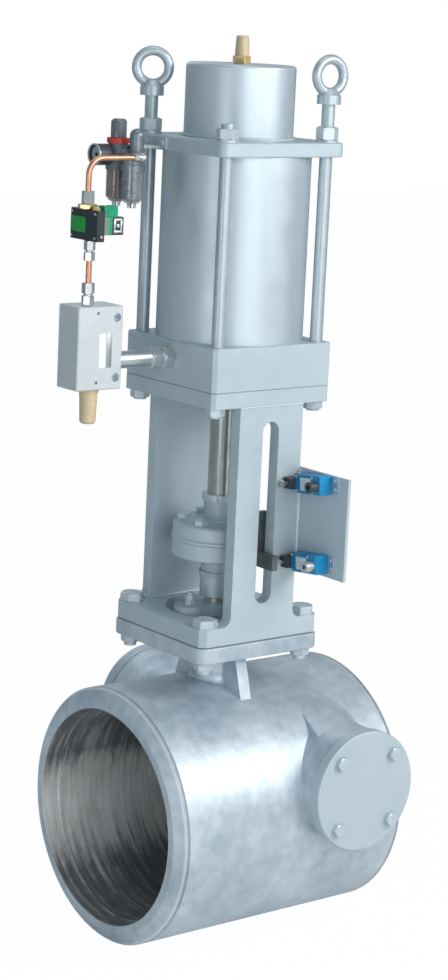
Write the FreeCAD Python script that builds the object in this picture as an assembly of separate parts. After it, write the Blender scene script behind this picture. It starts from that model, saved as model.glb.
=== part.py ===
"""Power-assisted tilting-disc non-return valve, 400 mm bore, with weld ends.

The straight body carries a conical seat and a disc that tilts on a cross shaft.
A stem through the gland drives the disc by a slotted crank.
A pneumatic cylinder on a two-column yoke lifts the stem to open the valve, and the
spring in the can above the piston drives it down again and closes the valve.
Its air comes through a filter-regulator and a lubricator, a copper pipe, a solenoid
valve and a quick-exhaust block, and two roller switches report the ends of the stroke.

Frame: millimetres, +Z up along the stem, X along the pipe, origin at the centre of the
downstream weld end. Everything is built about the stem axis and moved there on export.
"""
import FreeCAD
import Part
import math
import os

V = FreeCAD.Vector

# Pipe body
BORE_R = 204.0
BODY_WALL = 42.0
WELD_BORE_STEP = 2.0
WELD_BORE_DEPTH = 38.0
BODY_LENGTH = 549.0
STEM_FROM_OUTLET = 248.0
WELD_LAND = 16.0
WELD_BEVEL = 13.0
END_CHAMFER = 3.0
END_RING = 19.0
END_GROOVE = 2.5

# Neck and flange under the yoke
NECK_RISE = 70.0
NECK_WALL = 12.0
NECK_FLARE = 20.0
BODY_FLANGE_EDGE = 26.0
BODY_FLANGE_ROUND = 20.0
BODY_FLANGE_T = 30.0
NECK_RIB_T = 25.0
NECK_RIB_TOP = 76.0
NECK_RIB_FOOT = 106.0

# Disc shaft, its bosses and covers
SHAFT_FROM_STEM = 155.0
SHAFT_HEIGHT = 67.0
SHAFT_R = 30.0
BUSH_WALL = 10.0
BUSH_RECESS = 3.0
SHAFT_END_GAP = 1.0
BOSS_R = 113.0
NEAR_BOSS_RISE = 16.0
FAR_BOSS_RISE = 155.0
FAR_BOSS_T = 35.0
FAR_STUB_R = 86.0
COVER_OVERLAP = 4.0
COVER_T = 22.0
COVER_ROUND = 3.0
COVER_BOLT_INSET = 21.0
COVER_BOLT_R = 8.0
COVER_BOLT_AF = 24.0
COVER_BOLT_HEAD = 10.0
COVER_BOLT_DEPTH = 26.0
COVER_BOLTS = 4
GASKET_T = 2.0
SADDLE_HALF_W = 58.0
SADDLE_TOP_Y = 82.0
SADDLE_SHIFT = 5.0
SADDLE_NARROWING = 0.72
SADDLE_SLOPE = 30.0
SADDLE_FROM_FACE = 26.0
SADDLE_DEPTH = 110.0

# Seat and disc
SEAT_TILT = 15.0
SEAT_CONE = 17.0
SEAT_STEP = 36.0
SEAT_T = 34.0
SEAT_GAP = 0.4
DISC_T = 26.0
DISC_FROM_SHAFT = 50.0
DISC_DOME = 9.0
DISC_FLAT_R = 12.0
DISC_LUG_T = 26.0
DISC_LUG_Y = 72.0
DISC_HUB_R = 46.0
DISC_RIM = 16.0
DISH_FROM_EDGE = 30.0
DISH_SLOPE = 8.0
DISH_DEPTH = 6.0
WEB_BELOW = 96.0
WEB_ABOVE = 66.0
WEB_SINK = 3.0
WEIGHT_FROM_EDGE = 12.0
WEIGHT_L = 44.0
WEIGHT_HALF_W = 58.0
WEIGHT_T = 28.0

# Stem drive
STROKE = 150.0
STEM_R = 23.0
CRANK_T = 24.0
CRANK_HUB_R = 40.0
CRANK_HUB_STEP = 8.0
CRANK_SIDE_WALL = 11.5
CRANK_END_WALL = 14.3
CRANK_PIN_R = 13.0
CRANK_SLOT_PLAY = 3.5
CRANK_SLOT_RUN = 1.0
FORK_BELOW_PIN = 24.0
FORK_ABOVE_PIN = 52.0
FORK_GAP = 0.5

# Gland
PACKING_W = 11.0
PACKING_RINGS = 5
PACKING_RING_H = 13.0
NECK_BUSH_H = 14.0
GLAND_END_L = 30.0
GLAND_END_R = 31.0
GLAND_T = 20.0
GLAND_ABOVE_FLANGE = 26.0
GLAND_ROOM = 4.0
GLAND_STUD_X = 64.0
GLAND_STUD_R = 6.0
GLAND_NUT_AF = 19.0
GLAND_NUT_H = 10.0
GLAND_STUD_TIP = 5.0
GLAND_STUD_DEPTH = 20.0

# Yoke
YOKE_BASE_EDGE = 23.0
YOKE_BASE_T = 34.0
YOKE_CHAMFER = 11.0
YOKE_TOP_HOLE_R = 44.0
COLUMN_H = 412.0
COLUMN_HALF_W = 74.0
COLUMN_T = 25.0
COLUMN_FOOT_R = 18.0
SLOT_HALF_W = 19.0
SLOT_FOOT = 37.0
SLOT_HEAD = 30.0
YOKE_TOP_EDGE = 22.0
YOKE_TOP_T = 29.0
TOP_CHAMFER = 7.0
PLATE_EDGE = 2.0

# Corner bolts, tie rods and nuts
TIE_ROD_INSET = 22.0
BOLT_R = 12.0
BOLT_AF = 36.0
BASE_HEAD_AF = 40.0
BASE_HEAD_H = 16.0
NUT_H = 20.0
LOW_NUT_AF = 32.0
LOW_NUT_H = 16.0
EYE_NUT_H = 24.0
CROWN_ANGLE = 30.0
CROWN_SHARE = 0.95
THREAD_GAP = 0.1
WASHER_R = 21.0
WASHER_T = 4.0
BOLT_HOLE_PLAY = 1.0
ROD_TIP = 7.0
EYE_ROD_EXTRA = 53.0
EYE_BOSS_R = 22.0
EYE_BOSS_H = 24.0
EYE_RING_R = 30.0
EYE_BAR_R = 9.0
EYE_RING_SINK = 3.0
EYE_TURNS = {(-1, 1): 34.0, (1, -1): 4.0}

# Cylinder
HEAD_EDGE = 22.0
HEAD_H = 82.0
PORT_BELOW_TOP = 32.0
CYL_BORE_R = 125.0
BARREL_WALL = 13.0
BARREL_H = 343.0
SPIGOT_H = 8.0
SPIGOT_PLAY = 0.3
TOP_EDGE = 27.0
TOP_ROUND = 19.0
TOP_T = 26.0
CAN_R = 101.5
CAN_WALL = 8.0
CAN_H = 134.0
CAN_ROUND = 6.0
CAN_WELD = 5.0
VENT_R = 7.0
ROD_R = 27.5
ROD_BUSH_WALL = 7.0
ROD_BUSH_H = 48.0
RUN_FIT = 0.05
PISTON_H = 50.0
PISTON_WEB = 25.0
PISTON_RIM = 20.0
PISTON_SEAL_H = 8.0
PISTON_SEAL_D = 7.0
ROD_TENON_R = 20.0
ROD_NUT_AF = 55.0
ROD_NUT_H = 24.0
REST_GAP = 0.3
SPRING_GAP = 9.0
SPRING_WIRE_R = 8.5
SPRING_TURNS = 6
PORT_R = 11.0

# Coupling between rod and stem
COUPLING_ABOVE_BASE = 136.0
COUPLING_FROM_COLUMN = 24.0
COUPLING_LIP = 3.0
COUPLING_T = 34.0
COUPLING_ROUND = 8.0
COUPLING_HUB_R = 33.0
UPPER_HUB_H = 40.0
LOWER_HUB_H = 40.0
HUB_COLLAR = 3.5
HUB_COLLAR_H = 10.0
COUPLING_BOLT_INSET = 20.0
COUPLING_BOLTS = 6
COUPLING_BOLT_R = 8.0
COUPLING_BOLT_AF = 24.0
COUPLING_BOLT_HEAD = 10.0
COUPLING_BOLT_BITE = 26.0
LOCK_COLLAR_R = 37.0
LOCK_COLLAR_H = 12.0
LOCK_COLLAR_SLOTS = 4
LOCK_SLOT_W = 8.0
LOCK_SLOT_D = 4.0
STEM_SLEEVE_R = 33.5
STEM_SLEEVE_H = 40.0
STEM_SLEEVE_EDGE = 2.0

# Limit switches, their plate and the striker
PLATE_T = 6.0
PLATE_OUT = 140.0
PLATE_FOOT = 99.0
PLATE_ENDS = 42.0
SWITCH_L = 72.0
SWITCH_W = 30.0
SWITCH_H = 36.0
SWITCH_TILT = 6.0
SWITCH_FROM_COLUMN = 3.0
ROLLER_ABOVE_BASE = 116.0
HEAD_BLOCK = 20.0
HEAD_BLOCK_GAP = 0.5
ROLLER_FROM_SLOT = 3.0
ROLLER_R = 6.0
ROLLER_W = 8.0
PLUNGER_R = 4.0
PLUNGER_TRAVEL = 5.0
PLUNGER_DEPTH = 8.0
STRIKER_T = 12.0
STRIKER_H = 28.0
STRIKER_GAP = 0.5
STRIKER_OUT = 19.0
STRIKER_PAD_W = 26.0
STRIKER_PAD_T = 9.0
STRIKER_PAD_RISE = 74.0
CABLE_GLAND_R = 10.0
CABLE_GLAND_L = 18.0
CABLE_HOLE_R = 4.5
SWITCH_ENTRY = 12.0
END_BRACKET_T = 3.0
END_BRACKET_L = 20.0
END_BRACKET_STEP = 3.0
SWITCH_ROUND = 4.0
CABLE_GLAND_DROP = 2.0
CABLE_HOLE_DEPTH = 4.0
HEAD_BACK = 4.0
HEAD_SEAT = 2.0

# Quick-exhaust block and its pipework
BLOCK_FROM_HEAD = 130.0
BLOCK_L = 97.0
BLOCK_W = 64.0
BLOCK_H = 151.0
BLOCK_BELOW_PORT = 47.0
BLOCK_EDGE = 2.0
CHAMBER_R = 26.0
CHAMBER_H = 17.0
EXHAUST_SEAT_R = 16.0
EXHAUST_R = 12.0
EXHAUST_SEAT_H = 6.0
POPPET_R = 22.0
POPPET_T = 5.0
NIPPLE_R = 16.0
NIPPLE_HOLE_R = 9.0
UNION_L = 48.0
UNION_AF = 38.0
RISER_OFFSET = -15.5
LINK_Y = -10.0
TUBE_R = 5.2
TUBE_BEND = 30.0
TUBE_IN_FITTING = 15.0
TUBE_IN_NUT = 5.0
TUBE_IN_ELBOW = 12.0
TUBE_WALL = 1.0
FITTING_AF = 20.0
SMALL_FITTING_AF = 18.0
BRASS_AF = 32.0
BLOCK_FITTING_H = 41.0
LINK_TUBE_H = 39.0
VALVE_FITTING_H = 36.0
SOLENOID_H = 55.0
SOLENOID_T = 17.0
SOLENOID_NEAR = 43.0
SOLENOID_FAR = 40.0
COIL_ENTRY_R = 3.5
COIL_ENTRY_L = 12.0
SOLENOID_ROUND = 1.5
BUTTON_R = 3.0
BUTTON_WELL = 12.0
BUTTON_IN = 9.0
BUTTON_OUT = 2.5
BUTTON_RISE = 9.0
COIL_L = 45.0
COIL_W = 30.0
COIL_H = 32.0
COIL_Y = -21.0
COIL_RISE = 11.0
COIL_ROUND = 2.0
COIL_NUT_R = 8.0
COIL_NUT_H = 5.0
PLUG_START = 6.0
PLUG_L = 30.0
PLUG_W = 22.0
PLUG_H = 19.0
PLUG_ROUND = 2.5
FITTING_NUT_SHARE = 0.44
FITTING_WAIST_SHARE = 0.08
FITTING_WAIST_STEP = 2.0
VALVE_PLUG_AF = 13.0
VALVE_PLUG_H = 5.0
VALVE_PLUG_Y = -28.0
ELBOW_R = 6.5
ELBOW_BALL_R = 8.0
ELBOW_HEX_AF = 16.0
ELBOW_NUT_AF = 14.0
ELBOW_HEX_H = 9.0
BRASS_H = 9.0
TOP_FITTING_H = 23.0

# Filter-regulator and lubricator
AIR_SET_FROM_PLATE = 72.0
AIR_SET_BELOW_PLATE = 10.5
AIR_SET_GAP = 7.0
BRACKET_T = 5.0
BRACKET_BOLT_AF = 10.0
BRACKET_BOLT_H = 4.0
BRACKET_BOLT_IN = 9.0
LUBRICATOR_Y = 30.0
AIR_BODY_R = 20.5
BOWL_R = 20.0
BOWL_WALL = 2.0
BOWL_H = 57.0
COLLAR_H = 23.0
BONNET_R = 18.5
BONNET_H = 25.0
LOCK_RING_R = 21.0
LOCK_RING_H = 9.0
KNOB_R = 14.5
KNOB_H = 34.0
DOME_R = 13.0
DOME_H = 44.0
DOME_SHIFT = 6.5
LINK_PORT_R = 6.2
LINK_PORT_DROP = 5.5
GAUGE_R = 19.5
GAUGE_L = 25.0
GAUGE_NECK = 6.0
GAUGE_STUB_R = 7.0
GAUGE_RIM = 2.5
GAUGE_WELL = 6.0
POINTER_AXLE_R = 1.2
POINTER_HUB_R = 3.0
POINTER_T = 1.2
POINTER_W = 1.8
POINTER_TAIL = 4.0
POINTER_L = 13.0
POINTER_ZERO = 135.0
HOUSING_DROP = 4.0
COLLAR_LIP = 1.5
COLLAR_LIP_H = 12.0
COLLAR_SLOPE = 2.0
REGULATOR_ROOF = 8.0
BONNET_STEP = 2.0
SUPPLY_BOSS_R = 9.0
SUPPLY_BOSS_L = 4.0
SPINDLE_R = 5.0
SPINDLE_ROOM = 1.0
SPINDLE_H = 8.0
KNOB_EDGE = 4.0
KNOB_FLUTES = 12
FLUTE_R = 1.6
FLUTE_OUT = 0.4
FLUTE_BELOW_TOP = 6.0
LUBRICATOR_RISE = 6.0
LUBRICATOR_ROOF = 16.0
BOWL_SLOPE = 8.0
BOWL_FLOOR = 3.0
ELEMENT_HOLE_R = 4.0
SIPHON_R = 2.5
SIPHON_HOLE_R = 1.5
SIPHON_FOOT = 10.0
DRAIN_STEM_R = 2.5
DRAIN_STEM_L = 6.0
DRAIN_COCK_SHARE = 0.62
DRAIN_COLLAR_H = 3.5
DRAIN_WING_T = 3.0
SUPPLY_PORT_R = 5.9
SUPPLY_PORT_L = 13.0
ELEMENT_R = 11.5
ELEMENT_H = 20.0
DRAIN_R = 8.5
DRAIN_H = 9.0

# Silencers
TOP_SILENCER_R = 13.3
TOP_SILENCER_H = 36.0
BRASS_BUSH_AF = 30.0
BRASS_BUSH_H = 15.0
LOW_SILENCER_R = 16.7
LOW_SILENCER_H = 57.0
LOW_SILENCER_BASE = 8.0

# Radii and half widths that follow from the sizes above
BODY_R = BORE_R + BODY_WALL
WELD_BORE_R = BORE_R + WELD_BORE_STEP
WELD_FACE_R = WELD_BORE_R + WELD_LAND
SEAT_R = BORE_R - SEAT_STEP
NEAR_FACE = BODY_R + NEAR_BOSS_RISE
FAR_FACE = BODY_R + FAR_BOSS_RISE
BUSH_LENGTH = NEAR_FACE - BORE_R - 2 * BUSH_RECESS
COVER_R = BOSS_R + COVER_OVERLAP
COVER_BOLT_CIRCLE = BOSS_R - COVER_BOLT_INSET
BOX_R = STEM_R + PACKING_W
NECK_R = BOX_R + NECK_WALL
NECK_FOOT_R = NECK_R + NECK_FLARE
YOKE_BASE_HOLE_R = GLAND_STUD_X + GLAND_END_L + GLAND_ROOM
BARREL_R = CYL_BORE_R + BARREL_WALL
PITCH = BARREL_R - TIE_ROD_INSET
CORNERS = [(sx, sy) for sx in (-1, 1) for sy in (-1, 1)]
HEAD_HALF = PITCH + HEAD_EDGE
TOP_HALF = PITCH + TOP_EDGE
YOKE_TOP_HALF = PITCH + YOKE_TOP_EDGE
YOKE_BASE_HALF = PITCH + YOKE_BASE_EDGE
BODY_FLANGE_HALF = PITCH + BODY_FLANGE_EDGE
COLUMN_Y = YOKE_BASE_HALF - COLUMN_T
COUPLING_R = COLUMN_Y - COUPLING_FROM_COLUMN
COUPLING_BOLT_CIRCLE = COUPLING_R - COUPLING_BOLT_INSET
SPRING_R = CAN_R - CAN_WALL - SPRING_GAP - SPRING_WIRE_R

# Heights that follow from the sizes above
FLANGE_Z = BODY_R + NECK_RISE
GASKET_Z = FLANGE_Z + BODY_FLANGE_T
GLAND_Z = GASKET_Z + GLAND_ABOVE_FLANGE
BASE_Z = GASKET_Z + GASKET_T
BASE_TOP = BASE_Z + YOKE_BASE_T
COLUMN_TOP = BASE_TOP + COLUMN_H
HEAD_Z = COLUMN_TOP + YOKE_TOP_T
HEAD_TOP = HEAD_Z + HEAD_H
PLATE_Z = HEAD_TOP + BARREL_H
PLATE_TOP = PLATE_Z + TOP_T
CAN_TOP = PLATE_TOP + CAN_H
COUPLING_Z = BASE_TOP + COUPLING_ABOVE_BASE
PISTON_Z = HEAD_TOP + SPIGOT_H + REST_GAP
WEB_TOP = PISTON_Z + PISTON_WEB
PORT_Z = HEAD_TOP - PORT_BELOW_TOP
BLOCK_Z = PORT_Z - BLOCK_BELOW_PORT
BLOCK_TOP = BLOCK_Z + BLOCK_H
LINK_Z = BLOCK_TOP + BLOCK_FITTING_H
SOLENOID_Z = LINK_Z + LINK_TUBE_H + VALVE_FITTING_H
SOLENOID_TOP = SOLENOID_Z + SOLENOID_H
RISER_NUT_Z = SOLENOID_TOP + BRASS_H
AIR_Z = PLATE_Z - AIR_SET_BELOW_PLATE
ROLLER_Z = BASE_TOP + ROLLER_ABOVE_BASE
PACKING_Z = BODY_R + NECK_BUSH_H
PACKING_TOP = PACKING_Z + PACKING_RINGS * PACKING_RING_H

# Places along the pipe that follow, measured from the stem axis
OUTLET_X = -STEM_FROM_OUTLET
INLET_X = BODY_LENGTH - STEM_FROM_OUTLET
BLOCK_X1 = -HEAD_HALF - BLOCK_FROM_HEAD
BLOCK_X0 = BLOCK_X1 - BLOCK_L
BLOCK_MID = (BLOCK_X0 + BLOCK_X1) / 2
RISER_X = BLOCK_MID + RISER_OFFSET
AIR_X = -TOP_HALF - AIR_SET_FROM_PLATE
PLATE_X = COLUMN_HALF_W
PLATE_H = STROKE + PLATE_ENDS
ROLLER_LEFT = SLOT_HALF_W - ROLLER_FROM_SLOT
ROLLER_Y = -YOKE_BASE_HALF - SWITCH_FROM_COLUMN - HEAD_BLOCK / 2
SWITCH_HEAD_X = ROLLER_LEFT + 2 * ROLLER_R + PLUNGER_TRAVEL + HEAD_BLOCK_GAP
REGULATOR_Y = LUBRICATOR_Y + 2 * AIR_BODY_R + AIR_SET_GAP

# Crank: the pin stays on the stem axis, half the stroke below and above the shaft
CRANK_SWING = math.degrees(math.atan(STROKE / 2 / SHAFT_FROM_STEM))
CRANK_FAR = SHAFT_FROM_STEM / math.cos(math.radians(CRANK_SWING))
CRANK_SLOT_R = CRANK_PIN_R + CRANK_SLOT_PLAY
CRANK_HALF_W = CRANK_SLOT_R + CRANK_SIDE_WALL
CRANK_END = CRANK_FAR + CRANK_SLOT_RUN + CRANK_SLOT_R + CRANK_END_WALL
PIN_Z = SHAFT_HEIGHT - STROKE / 2
SHAFT_AT = V(SHAFT_FROM_STEM, 0, SHAFT_HEIGHT)


def box(x0, x1, y0, y1, z0, z1):
    """Block between two corners."""
    return Part.makeBox(x1 - x0, y1 - y0, z1 - z0, V(x0, y0, z0))


def rod_z(r, z0, z1, x=0.0, y=0.0):
    """Upright cylinder."""
    return Part.makeCylinder(r, z1 - z0, V(x, y, z0), V(0, 0, 1))


def rod_x(r, x0, x1, y=0.0, z=0.0):
    """Cylinder along the pipe."""
    return Part.makeCylinder(r, x1 - x0, V(x0, y, z), V(1, 0, 0))


def rod_y(r, y0, y1, x=0.0, z=0.0):
    """Cylinder across the pipe."""
    return Part.makeCylinder(r, y1 - y0, V(x, y0, z), V(0, 1, 0))


def tube_z(r_out, r_in, z0, z1, x=0.0, y=0.0):
    """Upright ring."""
    return rod_z(r_out, z0, z1, x, y).cut(rod_z(r_in, z0 - 1, z1 + 1, x, y))


def hexagon(af, length, place, axis, bore=0.0, turn=0.0):
    """Hexagon bar, across flats af, from a point along an axis, with a round bore."""
    r = af / 2 / math.cos(math.pi / 6)
    ring = [V(r * math.cos(math.radians(60 * i + turn)), r * math.sin(math.radians(60 * i + turn)), 0)
            for i in range(6)]
    bar = Part.Face(Part.makePolygon(ring + ring[:1])).extrude(V(0, 0, length))
    if bore > 0:
        bar = bar.cut(rod_z(bore, -1, length + 1))
    bar.Placement = FreeCAD.Placement(place, FreeCAD.Rotation(V(0, 0, 1), axis))
    return bar


def crowned(bar, af, length, place, axis, seated=False):
    """Turn the corners off both ends of a hexagon, or off its outer end where it is seated."""
    face_r = af / 2 * CROWN_SHARE
    r = af / 2 / math.cos(math.pi / 6) + 1.0
    drop = (r - face_r) * math.tan(math.radians(CROWN_ANGLE))
    profile = [(0.0, 0.0), (r, 0.0)] if seated else [(0.0, 0.0), (face_r, 0.0), (r, drop)]
    profile += [(r, length - drop), (face_r, length), (0.0, length)]
    return bar.common(spun(profile, place, axis))


def hex_nut(af, length, place, axis, bore, turn=0.0):
    """Hexagon nut with both ends turned."""
    return crowned(hexagon(af, length, place, axis, bore, turn), af, length, place, axis)


def hex_head(af, length, place, axis, turn=0.0):
    """Hexagon bolt head with its outer end turned."""
    return crowned(hexagon(af, length, place, axis, 0.0, turn), af, length, place, axis, True)


def square_plate(half, z0, z1, corner, rounded, edge=0.0):
    """Square plate whose upright corners are rounded or cut off and whose rims may be broken."""
    plate = box(-half, half, -half, half, z0, z1)
    upright = [e for e in plate.Edges if abs(e.BoundBox.ZLength - (z1 - z0)) < 1e-6]
    plate = plate.makeFillet(corner, upright) if rounded else plate.makeChamfer(corner, upright)
    if edge > 0:
        plate = plate.makeChamfer(edge, [e for e in plate.Edges if e.BoundBox.ZLength < 1e-6])
    return plate


def spun(points, place=V(0, 0, 0), axis=V(0, 0, 1)):
    """Solid of revolution from (radius, height) points, some of them bulged by arcs."""
    edges = []
    for i, start in enumerate(points):
        end = points[(i + 1) % len(points)]
        a = V(start[0], 0, start[1])
        b = V(end[0], 0, end[1])
        if len(start) == 4:
            edges.append(Part.Arc(a, V(start[2], 0, start[3]), b).toShape())
        else:
            edges.append(Part.makeLine(a, b))
    solid = Part.Face(Part.Wire(edges)).revolve(V(0, 0, 0), V(0, 0, 1), 360)
    solid.Placement = FreeCAD.Placement(place, FreeCAD.Rotation(V(0, 0, 1), axis))
    return solid


def corner_arc(r0, z0, r1, z1):
    """Point on the arc of a convex quarter round between two profile points."""
    k = math.sqrt(0.5)
    if (r1 - r0) * (z1 - z0) < 0:
        return (min(r0, r1) + abs(r1 - r0) * k, min(z0, z1) + abs(z1 - z0) * k)
    return (max(r0, r1) - abs(r1 - r0) * (1 - k), max(z0, z1) - abs(z1 - z0) * k)


def drill_corners(shape, z0, z1):
    """Four clearance holes for the corner bolts or tie rods."""
    for sx, sy in CORNERS:
        shape = shape.cut(rod_z(BOLT_R + BOLT_HOLE_PLAY, z0 - 1, z1 + 1, sx * PITCH, sy * PITCH))
    return shape


def tilted(shape):
    """Move a shape drawn about the disc's own axis to the closed disc's place.

    Its own +Z points upstream and its own +X points up along the seat.
    """
    tilt = math.radians(SEAT_TILT)
    up = V(math.sin(tilt), 0, math.cos(tilt))
    ahead = V(math.cos(tilt), 0, -math.sin(tilt))
    drop = (SHAFT_HEIGHT - DISC_FROM_SHAFT * math.sin(tilt)) / math.cos(tilt)
    centre = SHAFT_AT + ahead * DISC_FROM_SHAFT - up * drop
    side = ahead.cross(up)
    m = FreeCAD.Matrix(up.x, side.x, ahead.x, centre.x,
                       up.y, side.y, ahead.y, centre.y,
                       up.z, side.z, ahead.z, centre.z,
                       0, 0, 0, 1)
    shape = shape.copy()
    shape.Placement = FreeCAD.Placement(m).multiply(shape.Placement)
    return shape


def shaft_in_disc_frame():
    """Place of the shaft along the seat, measured up from the disc's centre."""
    tilt = math.radians(SEAT_TILT)
    return (SHAFT_HEIGHT - DISC_FROM_SHAFT * math.sin(tilt)) / math.cos(tilt)


def valve_body():
    """Forged barrel with weld ends, shaft bosses, neck, ribs and yoke flange."""
    half = [(WELD_FACE_R, 0.0), (BODY_R - END_CHAMFER, WELD_BEVEL), (BODY_R, END_RING - END_GROOVE),
            (BODY_R - END_GROOVE, END_RING), (BODY_R, END_RING + END_GROOVE)]
    outer = [(0.0, 0.0)] + half
    outer += [(r, BODY_LENGTH - x) for r, x in reversed(half)]
    outer.append((0.0, BODY_LENGTH))
    body = spun(outer, V(OUTLET_X, 0, 0), V(1, 0, 0))
    x, z = SHAFT_FROM_STEM, SHAFT_HEIGHT
    inner = BORE_R * 0.7
    parts = [rod_y(BOSS_R, -NEAR_FACE, -inner, x, z),
             rod_y(FAR_STUB_R, inner, FAR_FACE, x, z),
             rod_y(BOSS_R, FAR_FACE - FAR_BOSS_T, FAR_FACE, x, z),
             boss_saddle(-1, NEAR_FACE), boss_saddle(1, NEAR_FACE),
             neck(), square_plate(BODY_FLANGE_HALF, FLANGE_Z, GASKET_Z, BODY_FLANGE_ROUND, True, PLATE_EDGE),
             neck_rib(-1), neck_rib(1)]
    body = body.fuse(parts)
    body = body.cut([rod_x(BORE_R, OUTLET_X - 1, INLET_X + 1),
                     rod_x(WELD_BORE_R, OUTLET_X - 1, OUTLET_X + WELD_BORE_DEPTH),
                     rod_x(WELD_BORE_R, INLET_X - WELD_BORE_DEPTH, INLET_X + 1),
                     rod_y(SHAFT_R + BUSH_WALL, -NEAR_FACE - 1, -inner, x, z),
                     rod_y(SHAFT_R + BUSH_WALL, inner, FAR_FACE + 1, x, z),
                     rod_z(STEM_R + RUN_FIT, 0, GASKET_Z + 1),
                     rod_z(BOX_R, PACKING_Z, GASKET_Z + 1)])
    body = body.cut([rod_z(GLAND_STUD_R, GASKET_Z - GLAND_STUD_DEPTH, GASKET_Z + 1, side * GLAND_STUD_X)
                     for side in (-1, 1)])
    body = body.cut(cover_bolt_holes(0, COVER_BOLT_DEPTH, 1))
    return drill_corners(body, FLANGE_Z, GASKET_Z).removeSplitter()


def boss_saddle(side, face):
    """Roof-shaped rib that runs from the crest of the barrel down to a shaft boss."""
    x, z = SHAFT_FROM_STEM - SADDLE_SHIFT, SHAFT_HEIGHT
    top = z + BOSS_R
    crest = math.sqrt(BODY_R ** 2 - SADDLE_TOP_Y ** 2)
    low = crest - SADDLE_DEPTH
    narrow = SADDLE_HALF_W * SADDLE_NARROWING

    def outline(y, half, ridge, shoulder, base):
        pts = [V(x - half, y, base), V(x - half, y, shoulder), V(x, y, ridge),
               V(x + half, y, shoulder), V(x + half, y, base)]
        return Part.makePolygon(pts + pts[:1])

    foot = outline(side * (face - SADDLE_FROM_FACE), SADDLE_HALF_W, top, top - SADDLE_SLOPE, z)
    head = outline(side * SADDLE_TOP_Y, narrow, crest, crest - 2.0, low)
    return Part.makeLoft([foot, head], True, True)


def neck():
    """Round neck that flares into the barrel and rises to the flange."""
    flare = NECK_FOOT_R - NECK_R
    foot = BODY_R - 12.0
    bend = (NECK_R + flare * 0.29, foot + flare * 1.1 * 0.71)
    return spun([(0.0, foot - 20.0), (NECK_FOOT_R, foot - 20.0),
                 (NECK_FOOT_R, foot, bend[0] - 4.0, bend[1] - 4.0), (NECK_R, foot + flare * 1.4),
                 (NECK_R, FLANGE_Z + 1.0), (0.0, FLANGE_Z + 1.0)])


def neck_rib(side):
    """Sloping rib between the barrel and the yoke flange."""
    half = NECK_RIB_T / 2
    foot_z = math.sqrt(BODY_R ** 2 - NECK_RIB_FOOT ** 2) - 4.0
    pts = [V(-half, 0, foot_z - 30.0), V(-half, side * NECK_RIB_FOOT, foot_z - 30.0),
           V(-half, side * NECK_RIB_FOOT, foot_z), V(-half, side * NECK_RIB_TOP, FLANGE_Z + 1.0),
           V(-half, 0, FLANGE_Z + 1.0)]
    return Part.Face(Part.makePolygon(pts + pts[:1])).extrude(V(NECK_RIB_T, 0, 0))


def cover_bolt_places():
    """Axis points of the bolts of both side covers."""
    r = COVER_BOLT_CIRCLE
    for side, face in ((-1, NEAR_FACE), (1, FAR_FACE)):
        for i in range(COVER_BOLTS):
            a = math.radians(360.0 / COVER_BOLTS * (i + 0.5))
            yield side, face, SHAFT_FROM_STEM + r * math.cos(a), SHAFT_HEIGHT + r * math.sin(a)


def cover_bolt_holes(play, inward, outward):
    """Holes for the cover bolts, from one depth inside the boss face to one outside it."""
    holes = []
    for side, face, x, z in cover_bolt_places():
        ends = sorted((side * (face - inward), side * (face + outward)))
        holes.append(rod_y(COVER_BOLT_R + play, ends[0], ends[1], x, z))
    return holes


def side_covers():
    """Blind covers over both ends of the disc shaft."""
    made = []
    for side, face in ((-1, NEAR_FACE), (1, FAR_FACE)):
        rim = corner_arc(COVER_R, COVER_T - COVER_ROUND, COVER_R - COVER_ROUND, COVER_T)
        disc = spun([(0.0, 0.0), (COVER_R, 0.0), (COVER_R, COVER_T - COVER_ROUND, rim[0], rim[1]),
                     (COVER_R - COVER_ROUND, COVER_T), (0.0, COVER_T)],
                    V(SHAFT_FROM_STEM, side * (face + GASKET_T), SHAFT_HEIGHT), V(0, side, 0))
        made.append(disc.cut(cover_bolt_holes(BOLT_HOLE_PLAY, 1, GASKET_T + COVER_T + 1)))
    return made


def flange_gaskets():
    """Flat gaskets under both side covers and under the yoke."""
    made = []
    for side, face in ((-1, NEAR_FACE), (1, FAR_FACE)):
        ends = sorted((side * face, side * (face + GASKET_T)))
        ring = rod_y(BOSS_R - 2.0, ends[0], ends[1], SHAFT_FROM_STEM, SHAFT_HEIGHT)
        hole_r = SHAFT_R + BUSH_WALL + 4.0
        ring = ring.cut(rod_y(hole_r, ends[0] - 1, ends[1] + 1, SHAFT_FROM_STEM, SHAFT_HEIGHT))
        made.append(ring.cut(cover_bolt_holes(BOLT_HOLE_PLAY, 1, GASKET_T + 1)))
    sheet = square_plate(YOKE_BASE_HALF - 4.0, GASKET_Z, BASE_Z, YOKE_CHAMFER, False)
    sheet = sheet.cut(rod_z(YOKE_BASE_HOLE_R, GASKET_Z - 1, BASE_Z + 1))
    made.append(drill_corners(sheet, GASKET_Z, BASE_Z))
    return made


def cover_bolts():
    """Hexagon bolts of both side covers."""
    made = []
    for side, face, x, z in cover_bolt_places():
        seat = side * (face + GASKET_T + COVER_T)
        tip = side * (face - COVER_BOLT_DEPTH + 4.0)
        head = hex_head(COVER_BOLT_AF, COVER_BOLT_HEAD, V(x, seat, z), V(0, side, 0))
        ends = sorted((seat + side, tip))
        made.append(head.fuse(rod_y(COVER_BOLT_R - THREAD_GAP, ends[0], ends[1], x, z)))
    return made


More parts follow.
